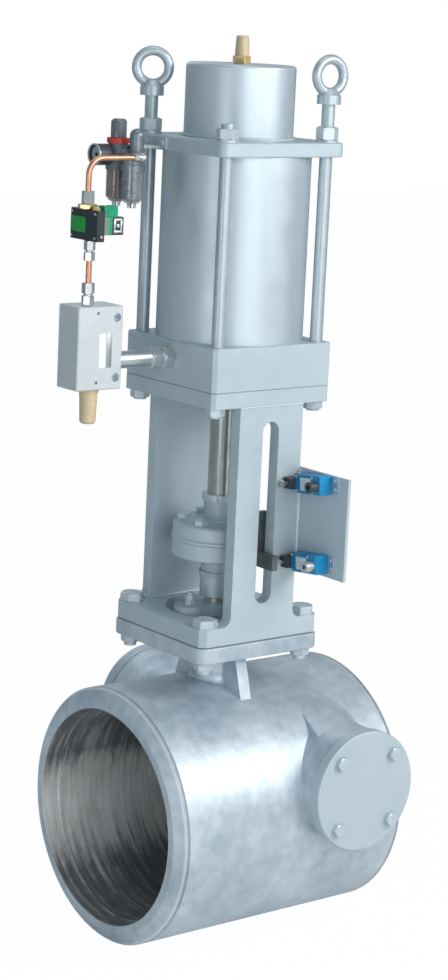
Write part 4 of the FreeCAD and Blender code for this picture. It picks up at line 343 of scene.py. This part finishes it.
# Cylinder and spring can.
# Tube and can have a thin, more metallic coat, on which the lamps show as upright bands.
barrel_material = paint("barrel_paint", (0.56, 0.64, 0.69, 1), (0.50, 0.58, 0.63, 1), 4.0, 0.6, 0.40, 0.62, 0.08,
                        0.0012)
finishes["cylinder_barrel"] = barrel_material
finishes["spring_canister"] = barrel_material


# Tie rods, nuts and bolts.
# Turned rods and eye nuts are thinly painted; the hexagons are a little paler.
rod_material = paint("rod_paint", (0.50, 0.57, 0.61, 1), (0.40, 0.47, 0.51, 1), 18.0, 0.7, 0.36, 0.60, 0.14, 0.0008)
for name in ("tie_rods", "lifting_eye_nuts"):
    finishes[name] = rod_material
bolt_material = paint("bolt_paint", (0.62, 0.69, 0.73, 1), (0.46, 0.54, 0.58, 1), 30.0, 0.8, 0.34, 0.45, 0.2,
                      0.0012)
for name in ("cover_bolts", "base_bolts", "tie_rod_nuts", "gland_studs", "coupling_bolts", "rod_nuts"):
    finishes[name] = bolt_material


# Bright and dark steel.
# The rod is polished and the stem, pin, shaft and rollers are turned; the disc and its seat are machined; the
# weight, crank, piston, spring and striker are dark.
def metal(name, light, dark, size, rough, grain):
    """Bare metal with fine turning marks round the upright axis and a faint stain."""
    material, shader, first, place = new_finish(name)
    stain = first.noise(place, size, 5.0)
    squash = first.add("Mapping", None, {"Vector": place, "Scale": (1.0, 1.0, 26.0)})
    lines = first.noise(squash, 60.0, 3.0)
    tone = first.tones(stain * 0.7 + lines * 0.3, dark, light)
    feed(material, shader, base_color=tone, metallic=1.0, roughness=rough + (lines - 0.5) * 0.2 + stain * 0.08)
    feed(material, shader, normal=rounded(first, lines, grain, 0.0003, 0.0006))
    return material


bright_material = metal("turned_steel", (0.72, 0.72, 0.71, 1), (0.46, 0.46, 0.46, 1), 30.0, 0.26, 0.3)
for name in ("valve_stem", "stem_pin", "hinge_shaft", "lower_roller", "upper_roller", "manual_button"):
    finishes[name] = bright_material
seat_material = metal("machined_seat_steel", (0.50, 0.49, 0.47, 1), (0.26, 0.25, 0.24, 1), 18.0, 0.34, 0.3)
finishes["disc_seat"] = seat_material
finishes["tilting_disc"] = seat_material
polished_material = metal("polished_rod", (0.66, 0.68, 0.64, 1), (0.32, 0.34, 0.32, 1), 40.0, 0.18, 0.15)
finishes["piston_rod"] = polished_material
cast_material = metal("dark_cast_iron", (0.26, 0.27, 0.28, 1), (0.13, 0.14, 0.14, 1), 50.0, 0.50, 0.5)
for name in ("balance_weight", "crank_arm", "piston", "closing_spring", "striker"):
    finishes[name] = cast_material


# Pipework metals.
# Copper pipe is lightly tarnished and its fittings are plated; the nuts on the solenoid valve and the fitting on
# the can are brass, so one finish turns to brass at those heights.
copper_material = metal("drawn_copper", (0.84, 0.45, 0.30, 1), (0.52, 0.23, 0.14, 1), 60.0, 0.30, 0.1)
finishes["copper_tubes"] = copper_material
valve_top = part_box("solenoid_valve")[1].z
brass_height, plate_top = 0.009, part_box("top_plate")[1].z
plated_dark, plated_light = (0.40, 0.41, 0.41, 1), (0.76, 0.76, 0.75, 1)
brass_dark, brass_light = (0.50, 0.36, 0.15, 1), (0.80, 0.62, 0.34, 1)
fitting_material, shader, first, place = new_finish("plated_and_brass_fittings")
z = first.part(place, "Z")
brass = (z > valve_top) * (z < valve_top + brass_height) + (z > plate_top)
stain = first.noise(place, 70.0, 5.0)
plated = first.tones(stain, plated_dark, plated_light)
yellow = first.tones(stain, brass_dark, brass_light)
tone = first.tones(brass, plated, yellow)
feed(fitting_material, shader, base_color=tone, metallic=0.9, roughness=0.24 + stain * 0.12)
feed(fitting_material, shader, normal=rounded(first, stain, 0.2, 0.0003, 0.0008))
finishes["tube_fittings"] = fitting_material
union_material = metal("union_steel", (0.82, 0.84, 0.85, 1), (0.50, 0.53, 0.55, 1), 45.0, 0.28, 0.25)
for name in ("pipe_union", "filter_drain", "lubricator_drain"):
    finishes[name] = union_material
bronze_material = metal("turned_bronze", (0.70, 0.52, 0.30, 1), (0.48, 0.34, 0.18, 1), 40.0, 0.3, 0.2)
for name in ("shaft_bushes", "rod_bush"):
    finishes[name] = bronze_material


# Silencers.
# Sintered bronze beads, pale and matte; the filter element in its bowl is of the same kind.
material, shader, first, place = new_finish("sintered_bronze")
beads = first.add("TexVoronoi", None, {"Vector": place, "Scale": 1100.0})
stain = first.noise(place, 90.0, 4.0)
tone = first.tones(beads * 0.9 + stain * 0.4, (0.86, 0.74, 0.52, 1), (0.58, 0.44, 0.27, 1))
feed(material, shader, base_color=tone, metallic=0.35, roughness=0.55 + stain * 0.2)
feed(material, shader, normal=rounded(first, beads, 0.5, 0.0004, 0.0008))
finishes["silencers"] = material
finishes["filter_element"] = material


# Rubber, packing and gaskets.
# Rings and poppet are moulded rubber; gaskets and packing are grey, the gaskets' edges painted over.
def plastic(name, light, dark, rough, grain, size=70.0, coat=0.0):
    """Moulded plastic or rubber: faint mottle, fine texture and softened edges."""
    material, shader, first, place = new_finish(name)
    mottle = first.noise(place, size, 4.0)
    fine = first.noise(place, 1600.0, 1.0)
    tone = first.tones(mottle, dark, light)
    feed(material, shader, base_color=tone, roughness=rough + (mottle - 0.5) * 0.15 + fine * 0.05, coat_weight=coat)
    feed(material, shader, normal=rounded(first, fine, grain, 0.0003, 0.0008))
    return material


rubber_material = plastic("moulded_rubber", (0.05, 0.05, 0.05, 1), (0.02, 0.02, 0.02, 1), 0.6, 0.3)
for name in ("actuator_seals", "piston_seals", "exhaust_poppet"):
    finishes[name] = rubber_material
gasket_material = plastic("painted_gasket", (0.42, 0.48, 0.52, 1), (0.28, 0.33, 0.36, 1), 0.7, 0.5)
for name in ("flange_gaskets", "stem_packing"):
    finishes[name] = gasket_material


# Roller switches.
# Blue moulded housings; the plunger head and the upper switch's cable gland are black, the end lug is plated.
# Each limit is a distance into the switch: head_reach and gland_from_head from its head end, gland_depth from the
# side where the gland stands, the others from its lug.
head_reach, gland_from_head, gland_depth = 0.0222, 0.06, 0.018
lug_reach, light_reach = 0.0195, 0.05
blue_dark, blue_light = (0.003, 0.15, 0.36, 1), (0.005, 0.27, 0.54, 1)
head_tone, lug_tone = (0.035, 0.045, 0.05, 1), (0.62, 0.64, 0.66, 1)


def switch_finish(name, gland_tone, gland_metal):
    """Blue housing with a black head, a cable gland and a plated end lug."""
    low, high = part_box(name)
    material, shader, first, place = new_finish(name + "_finish")
    x = first.part(place, "X")
    y = first.part(place, "Y")
    head = y > high.y - head_reach
    gland = (x < low.x + gland_depth) * (y < high.y - gland_from_head)
    lug = y < low.y + lug_reach
    mottle = first.noise(place, 120.0, 3.0)
    blue = first.tones(mottle * 0.6 + (y < low.y + light_reach) * 0.5, blue_dark, blue_light)
    plated = first.tones(lug, first.tones(head, blue, head_tone), lug_tone)
    tone = first.tones(gland, plated, gland_tone)
    feed(material, shader, base_color=tone, metallic=lug * 0.9 + gland * gland_metal,
         roughness=0.34 + mottle * 0.1 + head * 0.15)
    feed(material, shader, normal=rounded(first, mottle, 0.1, 0.0003, 0.001))
    finishes[name] = material


switch_finish("upper_switch", (0.05, 0.055, 0.06, 1), 0.0)
switch_finish("lower_switch", (0.55, 0.57, 0.58, 1), 0.8)


# Quick-exhaust block and solenoid valve.
# The block is blasted aluminium and the valve body is black. The coil is green with a greyish label end and a
# black case from the band on, and its plug on top is green.
coil_low, coil_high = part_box("pilot_coil")
coil_top, label_end, band_end = coil_high.z - 0.019, coil_low.x + 0.014, coil_low.x + 0.021
green_dark, green_light = (0.0, 0.20, 0.09, 1), (0.002, 0.42, 0.20, 1)
case_dark, case_light = (0.010, 0.014, 0.016, 1), (0.035, 0.045, 0.05, 1)
label_end_tone = (0.20, 0.27, 0.20, 1)
finishes["exhaust_block"] = paint("blasted_aluminium", (0.64, 0.67, 0.68, 1), (0.54, 0.58, 0.60, 1), 12.0, 0.7, 0.45,
                                  0.35, 0.2, 0.001)
finishes["solenoid_valve"] = plastic("black_valve_body", (0.018, 0.034, 0.042, 1), (0.008, 0.014, 0.018, 1), 0.45,
                                     0.2)
coil_material, shader, first, place = new_finish("coil_with_green_plug")
x = first.part(place, "X")
z = first.part(place, "Z")
mottle = first.noise(place, 90.0, 4.0)
green = first.tones(mottle, green_dark, green_light)
black = first.tones(mottle, case_dark, case_light)
wound = first.tones(x < label_end, green, label_end_tone)
case = first.tones(x > band_end, wound, black)
tone = first.tones(z > coil_top, case, green)
feed(coil_material, shader, base_color=tone, roughness=0.3 + mottle * 0.15)
feed(coil_material, shader, normal=rounded(first, mottle, 0.1, 0.0003, 0.001))
finishes["pilot_coil"] = coil_material


# Air set.
# Dark die-cast housings, a red lock ring under the glossy knob, a black gauge, and two bowls, one clear and one
# smoky brown.
knob_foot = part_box("regulator_knob")[0].z
ring_low, ring_high = knob_foot - 0.0098, knob_foot + 0.0002
bowl_low, bowl_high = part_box("air_bowls")
casting_dark, casting_light, ring_red = (0.10, 0.12, 0.13, 1), (0.22, 0.25, 0.27, 1), (0.66, 0.05, 0.035, 1)
clear_dark, clear_light = (0.17, 0.19, 0.22, 1), (0.38, 0.41, 0.45, 1)
smoke_dark, smoke_light = (0.17, 0.13, 0.12, 1), (0.36, 0.30, 0.28, 1)
bowl_alpha, smoke_alpha = 0.46, 0.14
material, shader, first, place = new_finish("dark_die_casting_with_red_ring")
z = first.part(place, "Z")
ring = (z > ring_low) * (z < ring_high)
mottle = first.noise(place, 150.0, 4.0)
tone = first.tones(ring, first.tones(mottle, casting_dark, casting_light), ring_red)
feed(material, shader, base_color=tone, roughness=0.4 + mottle * 0.15, metallic=0.15)
feed(material, shader, normal=rounded(first, mottle, 0.2, 0.0003, 0.001))
finishes["regulator"] = material
finishes["lubricator"] = paint("grey_die_casting", (0.26, 0.30, 0.33, 1), (0.14, 0.17, 0.19, 1), 40.0, 0.7, 0.30, 0.5,
                               0.2, 0.001)
black_material = plastic("black_moulding", (0.07, 0.08, 0.09, 1), (0.025, 0.03, 0.035, 1), 0.36, 0.15)
finishes["pressure_gauge"] = black_material
finishes["regulator_knob"] = plastic("glossy_knob", (0.17, 0.19, 0.23, 1), (0.08, 0.09, 0.12, 1), 0.26, 0.1, coat=0.4)
finishes["gauge_pointer"] = plastic("dark_pointer", (0.05, 0.05, 0.06, 1), (0.02, 0.02, 0.025, 1), 0.4, 0.1)
material, shader, first, place = new_finish("clear_bowl")
haze = first.noise(place, 80.0, 3.0)
y = first.part(place, "Y")
smoky = y > (bowl_low.y + bowl_high.y) / 2
clear = first.tones(haze, clear_dark, clear_light)
brown = first.tones(haze, smoke_dark, smoke_light)
tone = first.tones(smoky, clear, brown)
feed(material, shader, base_color=tone, roughness=0.12 + haze * 0.1, coat_weight=0.5,
     alpha=bowl_alpha + haze * 0.16 + smoky * smoke_alpha)
finishes["air_bowls"] = material

# Each CAD node takes the finish that stands under its name.
for name, node in nodes.items():
    node.data.materials.clear()
    node.data.materials.append(finishes[name])


# Weld beads.
# The can, the neck, the yoke columns and the switch plate are welded, and each seam stands as a rippled bead
# under the paint. A bead is a tube whose thickness swells at each pass of the torch.
sharp_angle = math.radians(32)
merge_reach = 1e-6
bead_sides, steps_per_pass, bead_swell = 8, 4, 0.09


def piece_of(name, mesh, material, body):
    """Turn a bmesh into a named piece that moves with one body of the valve."""
    bmesh.ops.recalc_face_normals(mesh, faces=mesh.faces)
    data = bpy.data.meshes.new(name)
    mesh.to_mesh(data)
    mesh.free()
    data.polygons.foreach_set("use_smooth", [True] * len(data.polygons))
    data.set_sharp_from_angle(angle=sharp_angle)
    data.materials.append(material)
    piece = bpy.data.objects.new(name, data)
    bpy.context.scene.collection.objects.link(piece)
    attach(piece, body)
    return piece


def placed(mesh, fresh, place, axis):
    """Stand new geometry, drawn about +Z at the origin, on a place and along an axis."""
    stand = Vector(axis).to_track_quat("Z", "Y").to_matrix().to_4x4()
    bmesh.ops.transform(mesh, matrix=Matrix.Translation(Vector(place)) @ stand, verts=fresh)


def circle_points(middle, radius, sides):
    """Points of a round section whose middle stands a distance from the axis."""
    angles = [2 * math.pi * i / sides for i in range(sides)]
    return [(middle + radius * math.cos(a), radius * math.sin(a)) for a in angles]


def swept(mesh, outline, steps, turns=1, rise=0.0, closed=False):
    """Sweep an outline of (radius, height) points round the upright axis, climbing by rise at each step."""
    old = set(mesh.verts)
    verts = [mesh.verts.new((r, 0, h)) for r, h in outline]
    edges = [mesh.edges.new(pair) for pair in zip(verts, verts[1:] + verts[:1] if closed else verts[1:])]
    bmesh.ops.spin(mesh, geom=verts + edges, cent=(0, 0, 0), axis=(0, 0, 1), angle=2 * math.pi * turns,
                   dvec=(0, 0, rise), steps=steps, use_merge=rise == 0)
    return [v for v in mesh.verts if v not in old]


def lathe(mesh, outline, place, axis, steps=48, closed=False):
    """Revolve an outline of (radius, height) points, and stand it on a place along an axis."""
    old = set(mesh.verts)
    fresh = swept(mesh, outline, steps, closed=closed)
    bmesh.ops.remove_doubles(mesh, verts=fresh, dist=merge_reach)
    placed(mesh, [v for v in mesh.verts if v not in old], place, axis)


def bead_ring(mesh, place, radius, thick, passes):
    """Weld bead round an upright pipe, with a ripple for each pass."""
    fresh = swept(mesh, circle_points(radius, thick, bead_sides), passes * steps_per_pass, closed=True)
    for v in fresh:
        swell = 1 + bead_swell * math.sin(passes * math.atan2(v.co.y, v.co.x))
        flat = Vector((v.co.x, v.co.y, 0)).normalized() * radius
        v.co = flat + (v.co - flat) * swell
    placed(mesh, fresh, place, (0, 0, 1))


def bead_line(mesh, start, end, thick, passes):
    """Straight weld bead between two points."""
    start, end = Vector(start), Vector(end)
    old = set(mesh.verts)
    bmesh.ops.create_circle(mesh, segments=bead_sides, radius=thick, cap_ends=True)
    face = [f for f in mesh.faces if all(v not in old for v in f.verts)]
    step = (end - start).length / (passes * steps_per_pass)
    for i in range(passes * steps_per_pass):
        grown = bmesh.ops.extrude_face_region(mesh, geom=face)
        moved = [g for g in grown["geom"] if isinstance(g, bmesh.types.BMVert)]
        bmesh.ops.delete(mesh, geom=face, context="FACES")
        face = [g for g in grown["geom"] if isinstance(g, bmesh.types.BMFace)]
        bmesh.ops.translate(mesh, verts=moved, vec=(0, 0, step))
    fresh = [v for v in mesh.verts if v not in old]
    for v in fresh:
        swell = 1 + bead_swell * math.sin(2 * math.pi * v.co.z / step / steps_per_pass)
        v.co.x *= swell
        v.co.y *= swell
    placed(mesh, fresh, start, end - start)


can_low, can_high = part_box("spring_canister")
can_rim, neck_radius, flange_thick = 0.005, 0.046, 0.030
can_radius = (can_high.x - can_low.x) / 2 - can_rim
column_half, column_thick, foot_overhang = 0.074, 0.025, 0.014
column_foot, column_head, head_seam_y = 0.382, 0.794, 0.138
beads = bmesh.new()
for height, radius, thick, passes in ((can_low.z + 0.002, can_radius + 0.0015, 0.0034, 120),
                                      (body_high.z - flange_thick - 0.001, neck_radius + 0.001, 0.004, 40)):
    bead_ring(beads, (stem_x, 0, height), radius, thick, passes)
for side in (-1, 1):
    inner = side * (yoke_high.y - column_thick)
    for y, z, reach, thick, passes in ((inner, column_foot + 0.001, column_half + foot_overhang, 0.0035, 30),
                                       (inner, column_head - 0.001, column_half, 0.0035, 28),
                                       (side * head_seam_y, column_head - 0.0005, column_half, 0.0022, 28)):
        bead_line(beads, (stem_x - reach, y, z), (stem_x + reach, y, z), thick, passes)
piece_of("weld_beads", beads, frame_material, "valve_frame")
plate_low, plate_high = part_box("switch_plate")
plate_seam_y, seam_end, seam_thick, seam_passes = yoke_low.y - 0.0005, 0.003, 0.0042, 44
# The seam beside the switch plate takes the paler bolt paint as a painted highlight along the weld.
painted_highlight_bead = bmesh.new()
bead_line(painted_highlight_bead, (plate_low.x, plate_seam_y, plate_low.z + seam_end),
          (plate_low.x, plate_seam_y, plate_high.z - seam_end), seam_thick, seam_passes)
piece_of("switch_plate_bead", painted_highlight_bead, bolt_material, "valve_frame")


# Threads.
# Rolled threads on the free ends of the tie rods and of the gland studs.
steps_per_turn = 20
crest_share, root_share = 0.12, 0.10
flank_share, crest_end_share = 0.42, 0.58


def thread(mesh, radius, pitch, low, high, x, y):
    """Helical thread between two heights on an upright stud."""
    turns = int((high - low) / pitch)
    crest, root = radius + pitch * crest_share, radius - pitch * root_share
    outline = [(root, 0), (crest, pitch * flank_share), (crest, pitch * crest_end_share), (root, pitch)]
    fresh = swept(mesh, outline, steps_per_turn * turns, turns, pitch / steps_per_turn)
    bmesh.ops.translate(mesh, verts=fresh, vec=(x, y, low))


eye_foot, nut_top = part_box("lifting_eye_nuts")[0].z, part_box("tie_rod_nuts")[1].z
rod_half_spacing, rod_radius, rod_pitch = 0.116, 0.012, 0.003
plain_nut_top, plain_end = nut_top - 0.004, 0.006
threads = bmesh.new()
for sx, sy, foot, top in ((-1, 1, nut_top, eye_foot), (1, -1, nut_top, eye_foot),
                          (-1, -1, plain_nut_top, plain_nut_top + plain_end),
                          (1, 1, plain_nut_top, plain_nut_top + plain_end)):
    thread(threads, rod_radius, rod_pitch, foot, top, stem_x + sx * rod_half_spacing, sy * rod_half_spacing)
piece_of("tie_rod_threads", threads, rod_material, "valve_frame")
stud_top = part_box("gland_studs")[1].z
stud_half_spacing, stud_radius, stud_pitch = 0.064, 0.006, 0.00175
stud_thread, stud_end = 0.005, 0.0004
gland_threads = bmesh.new()
for side in (-1, 1):
    thread(gland_threads, stud_radius, stud_pitch, stud_top - stud_thread, stud_top - stud_end,
           stem_x + side * stud_half_spacing, 0)
piece_of("gland_stud_threads", gland_threads, bolt_material, "valve_frame")


# Pressure gauge.
# A dial whose grey is painted shade stands in the black case, with black marks on an arc and a turned bezel round it.
gauge_low, gauge_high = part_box("pressure_gauge")
gauge_y, gauge_z = (gauge_low.y + gauge_high.y) / 2, (gauge_low.z + gauge_high.z) / 2
gauge_radius = (gauge_high.y - gauge_low.y) / 2
dial_x, dial_radius, dial_thick = gauge_low.x + 0.0055, gauge_radius - 0.003, 0.0004
mark_count, mark_step, first_mark, marks_per_long = 28, 10, 225, 5
long_mark, short_mark, mark_thick, mark_width = 0.0026, 0.0014, 0.0003, 0.00045
mark_from_rim, mark_off_dial = 0.0042, 0.0005
outward = (-1, 0, 0)


def cuboid(mesh, size, centre):
    """Block of a size round a centre."""
    old = set(mesh.verts)
    bmesh.ops.create_cube(mesh, size=1.0)
    fresh = [v for v in mesh.verts if v not in old]
    bmesh.ops.scale(mesh, vec=size, verts=fresh)
    bmesh.ops.translate(mesh, vec=centre, verts=fresh)
    return fresh


dial = bmesh.new()
lathe(dial, [(0.0, 0.0), (dial_radius, 0.0), (dial_radius, dial_thick), (0.0, dial_thick)],
      (dial_x, gauge_y, gauge_z), outward)
# The dial's grey tone is painted shade.
dial_material = plastic("grey_dial_painted_shade", (0.42, 0.49, 0.53, 1), (0.34, 0.41, 0.45, 1), 0.3, 0.05)
piece_of("gauge_dial", dial, dial_material, "valve_frame")
marks = bmesh.new()
for i in range(mark_count):
    a = math.radians(first_mark - mark_step * i)
    length = short_mark if i % marks_per_long else long_mark
    fresh = cuboid(marks, (mark_thick, mark_width, length), (0, 0, gauge_radius - mark_from_rim - length / 2))
    bmesh.ops.rotate(marks, cent=(0, 0, 0), matrix=Matrix.Rotation(a - math.pi / 2, 3, "X"), verts=fresh)
    bmesh.ops.translate(marks, vec=(dial_x - mark_off_dial, gauge_y, gauge_z), verts=fresh)
piece_of("gauge_marks", marks, black_material, "valve_frame")
bezel_outline = [(gauge_radius + r, h) for r, h in ((-0.0024, -0.0004), (0.0006, -0.0004), (0.0006, 0.0016),
                                                    (-0.0004, 0.0026), (-0.0022, 0.0022))]
bezel = bmesh.new()
lathe(bezel, bezel_outline, (gauge_low.x, gauge_y, gauge_z), outward, closed=True)
piece_of("gauge_bezel", bezel, rod_material, "valve_frame")


# Solenoid valve trim.
# A bare green plate is glued on the outer face between four screws; the near face of the coil carries a pressed
# square frame round a screw, and another screw holds its plug.
sol_low, sol_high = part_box("solenoid_valve")
plate_proud, plate_sunk, plate_soft = 0.0008, 0.0002, 0.0002
green_from, green_to, green_foot, green_top = -0.007, 0.0385, sol_low.z + 0.014, sol_low.z + 0.041
small_screw, plug_screw, frame_screw = (0.0024, 0.0014), (0.0022, 0.0014), (0.0032, 0.0016)
screw_sunk, screw_inset, valve_screw_y = 0.0001, 0.006, (-0.037, 0.034)
plug_screw_x, plug_screw_y, frame_screw_sunk = coil_low.x + 0.013, -0.021, 0.0002
near = (0, -1, 0)


def tablet(mesh, low, high, soften):
    """Block between two corners with softened edges."""
    low, high = Vector(low), Vector(high)
    fresh = cuboid(mesh, high - low, (low + high) / 2)
    edges = list({e for v in fresh for e in v.link_edges})
    bmesh.ops.bevel(mesh, geom=edges, offset=soften, offset_type="OFFSET", segments=2, profile=0.5,
                    affect="EDGES", material=-1)


def socket_screw(mesh, place, axis, radius, tall):
    """Cap screw head with its socket."""
    outline = [(0.0, 0.0), (radius, 0.0), (radius, tall * 0.88), (radius * 0.9, tall), (radius * 0.52, tall),
               (radius * 0.5, tall * 0.45), (0.0, tall * 0.4)]
    lathe(mesh, outline, place, axis, steps=24)


plate = bmesh.new()
tablet(plate, (sol_low.x - plate_proud, green_from, green_foot),
       (sol_low.x + plate_sunk, green_to, green_top), plate_soft)
green_material = plastic("green_plate", (0.010, 0.36, 0.050, 1), (0.006, 0.26, 0.030, 1), 0.35, 0.05)
piece_of("valve_plate", plate, green_material, "valve_frame")
screws = bmesh.new()
for y in valve_screw_y:
    for z in (sol_low.z + screw_inset, sol_high.z - screw_inset):
        socket_screw(screws, (sol_low.x - screw_sunk, y, z), outward, *small_screw)
socket_screw(screws, (plug_screw_x, plug_screw_y, coil_high.z - screw_sunk), (0, 0, 1), *plug_screw)
piece_of("valve_screws", screws, union_material, "valve_frame")
frame_left, frame_right = coil_low.x + 0.024, coil_low.x + 0.042
frame_foot, frame_top = coil_low.z + 0.004, coil_top - 0.003
bar, bar_lap, bar_proud, bar_sunk = 0.004, 0.0005, 0.0012, 0.0003
bar_foot, bar_top = frame_foot + bar - bar_lap, frame_top - bar + bar_lap
coil_frame = bmesh.new()
for x0, z0, x1, z1 in ((frame_left, frame_foot, frame_right, frame_foot + bar),
                       (frame_left, frame_top - bar, frame_right, frame_top),
                       (frame_left, bar_foot, frame_left + bar, bar_top),
                       (frame_right - bar, bar_foot, frame_right, bar_top)):
    tablet(coil_frame, (x0, coil_low.y - bar_proud, z0), (x1, coil_low.y + bar_sunk, z1), bar_sunk)
socket_screw(coil_frame, ((frame_left + frame_right) / 2, coil_low.y + frame_screw_sunk,
                          (frame_foot + frame_top) / 2), near, *frame_screw)
piece_of("coil_frame", coil_frame, union_material, "valve_frame")


# Quick-exhaust block trim.
# Cap screws sit in the two counterbores and two small ones beside them; a white and a grey strip are glued on
# the near face, without print.
block_low, block_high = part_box("exhaust_block")
large_screw, large_depth = (0.0068, 0.0058), 0.0068
slim_screw, slim_depth = (0.0027, 0.0060), 0.0088
large_x, slim_x = block_high.x - 0.013, block_high.x - 0.055
large_inset, slim_from_top, slim_from_foot = 0.021, 0.012, 0.014
block_screws = bmesh.new()
for x, z, depth, screw in ((large_x, block_high.z - large_inset, large_depth, large_screw),
                           (large_x, block_low.z + large_inset, large_depth, large_screw),
                           (slim_x, block_high.z - slim_from_top, slim_depth, slim_screw),
                           (slim_x, block_low.z + slim_from_foot, slim_depth, slim_screw)):
    socket_screw(block_screws, (x, block_low.y + depth, z), near, *screw)
zinc_material = metal("blued_zinc", (0.52, 0.64, 0.72, 1), (0.30, 0.40, 0.48, 1), 90.0, 0.34, 0.2)
piece_of("block_screws", block_screws, zinc_material, "valve_frame")
strip_low, strip_high, strip_proud = block_low.z + 0.040, block_low.z + 0.102, 0.0005
white_strip = plastic("white_strip", (0.92, 0.92, 0.91, 1), (0.86, 0.86, 0.85, 1), 0.4, 0.05)
grey_strip = metal("grey_strip", (0.52, 0.57, 0.60, 1), (0.30, 0.34, 0.37, 1), 160.0, 0.4, 0.2)
for name, material, left, edge in (("block_white_strip", white_strip, 0.051, 0.0365),
                                   ("block_grey_strip", grey_strip, 0.0348, 0.0235)):
    strip = bmesh.new()
    tablet(strip, (block_high.x - left, block_low.y - strip_proud, strip_low),
           (block_high.x - edge, block_low.y + plate_sunk, strip_high), plate_soft)
    piece_of(name, strip, material, "valve_frame")


# Switch trim.
# Each housing is tilted a little; it carries a bare grey plate, four screws and, on its lug, two fixing screws.
plate_material = plastic("grey_plate", (0.60, 0.65, 0.68, 1), (0.52, 0.58, 0.61, 1), 0.4, 0.05)
face, lug_face, lug_y, roller_y = stem_x + 0.044, stem_x + 0.071, -0.245, -0.152
plate_from, plate_to, plate_half_height = -0.208, -0.178, 0.012
screw_half_height, switch_screw_y = 0.0135, (-0.167, -0.2125)
lug_half_height, lug_screw = 0.008, (0.0034, 0.0024)
tilt = Matrix.Rotation(math.radians(-6), 3, "X")
for name in ("lower_switch", "upper_switch"):
    roller_low, roller_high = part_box(name.replace("switch", "roller"))
    level = (roller_low.z + roller_high.z) / 2
    trims = bmesh.new()
    tablet(trims, (face - plate_proud, plate_from, level - plate_half_height),
           (face + plate_sunk, plate_to, level + plate_half_height), plate_soft)
    fixings = bmesh.new()
    for y in switch_screw_y:
        for z in (-screw_half_height, screw_half_height):
            socket_screw(fixings, (face - screw_sunk, y, level + z), outward, *small_screw)
    for z in (-lug_half_height, lug_half_height):
        socket_screw(fixings, (lug_face, lug_y, level + z), outward, *lug_screw)
    for mesh in (trims, fixings):
        bmesh.ops.rotate(mesh, cent=(face, roller_y, level), matrix=tilt, verts=mesh.verts)
    piece_of(name + "_plate", trims, plate_material, "valve_frame")
    piece_of(name + "_screws", fixings, union_material, "valve_frame")


# Closing spring.
# The coil in the can shortens as the piston rises; a swept coil takes the place of the rigid CAD coil, which is
# hidden.
spring_low, spring_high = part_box("closing_spring")
wire_radius, spring_turns, stroke = 0.0085, 6, 0.150
wire_sides, coil_steps = 14, 36 * spring_turns
coil_radius = (spring_high.x - spring_low.x) / 2 - wire_radius
spring_height = spring_high.z - spring_low.z
coil_rise = spring_height - 2 * wire_radius
coil = bmesh.new()
swept(coil, circle_points(coil_radius, wire_radius, wire_sides), coil_steps, spring_turns, coil_rise / coil_steps,
      closed=True)
bmesh.ops.holes_fill(coil, edges=[e for e in coil.edges if e.is_boundary], sides=0)
bmesh.ops.translate(coil, verts=coil.verts, vec=(stem_x, 0, spring_low.z + wire_radius))
coil_piece = piece_of("spring_coil", coil, cast_material, "valve_frame")
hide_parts("closing_spring")
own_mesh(coil_piece)
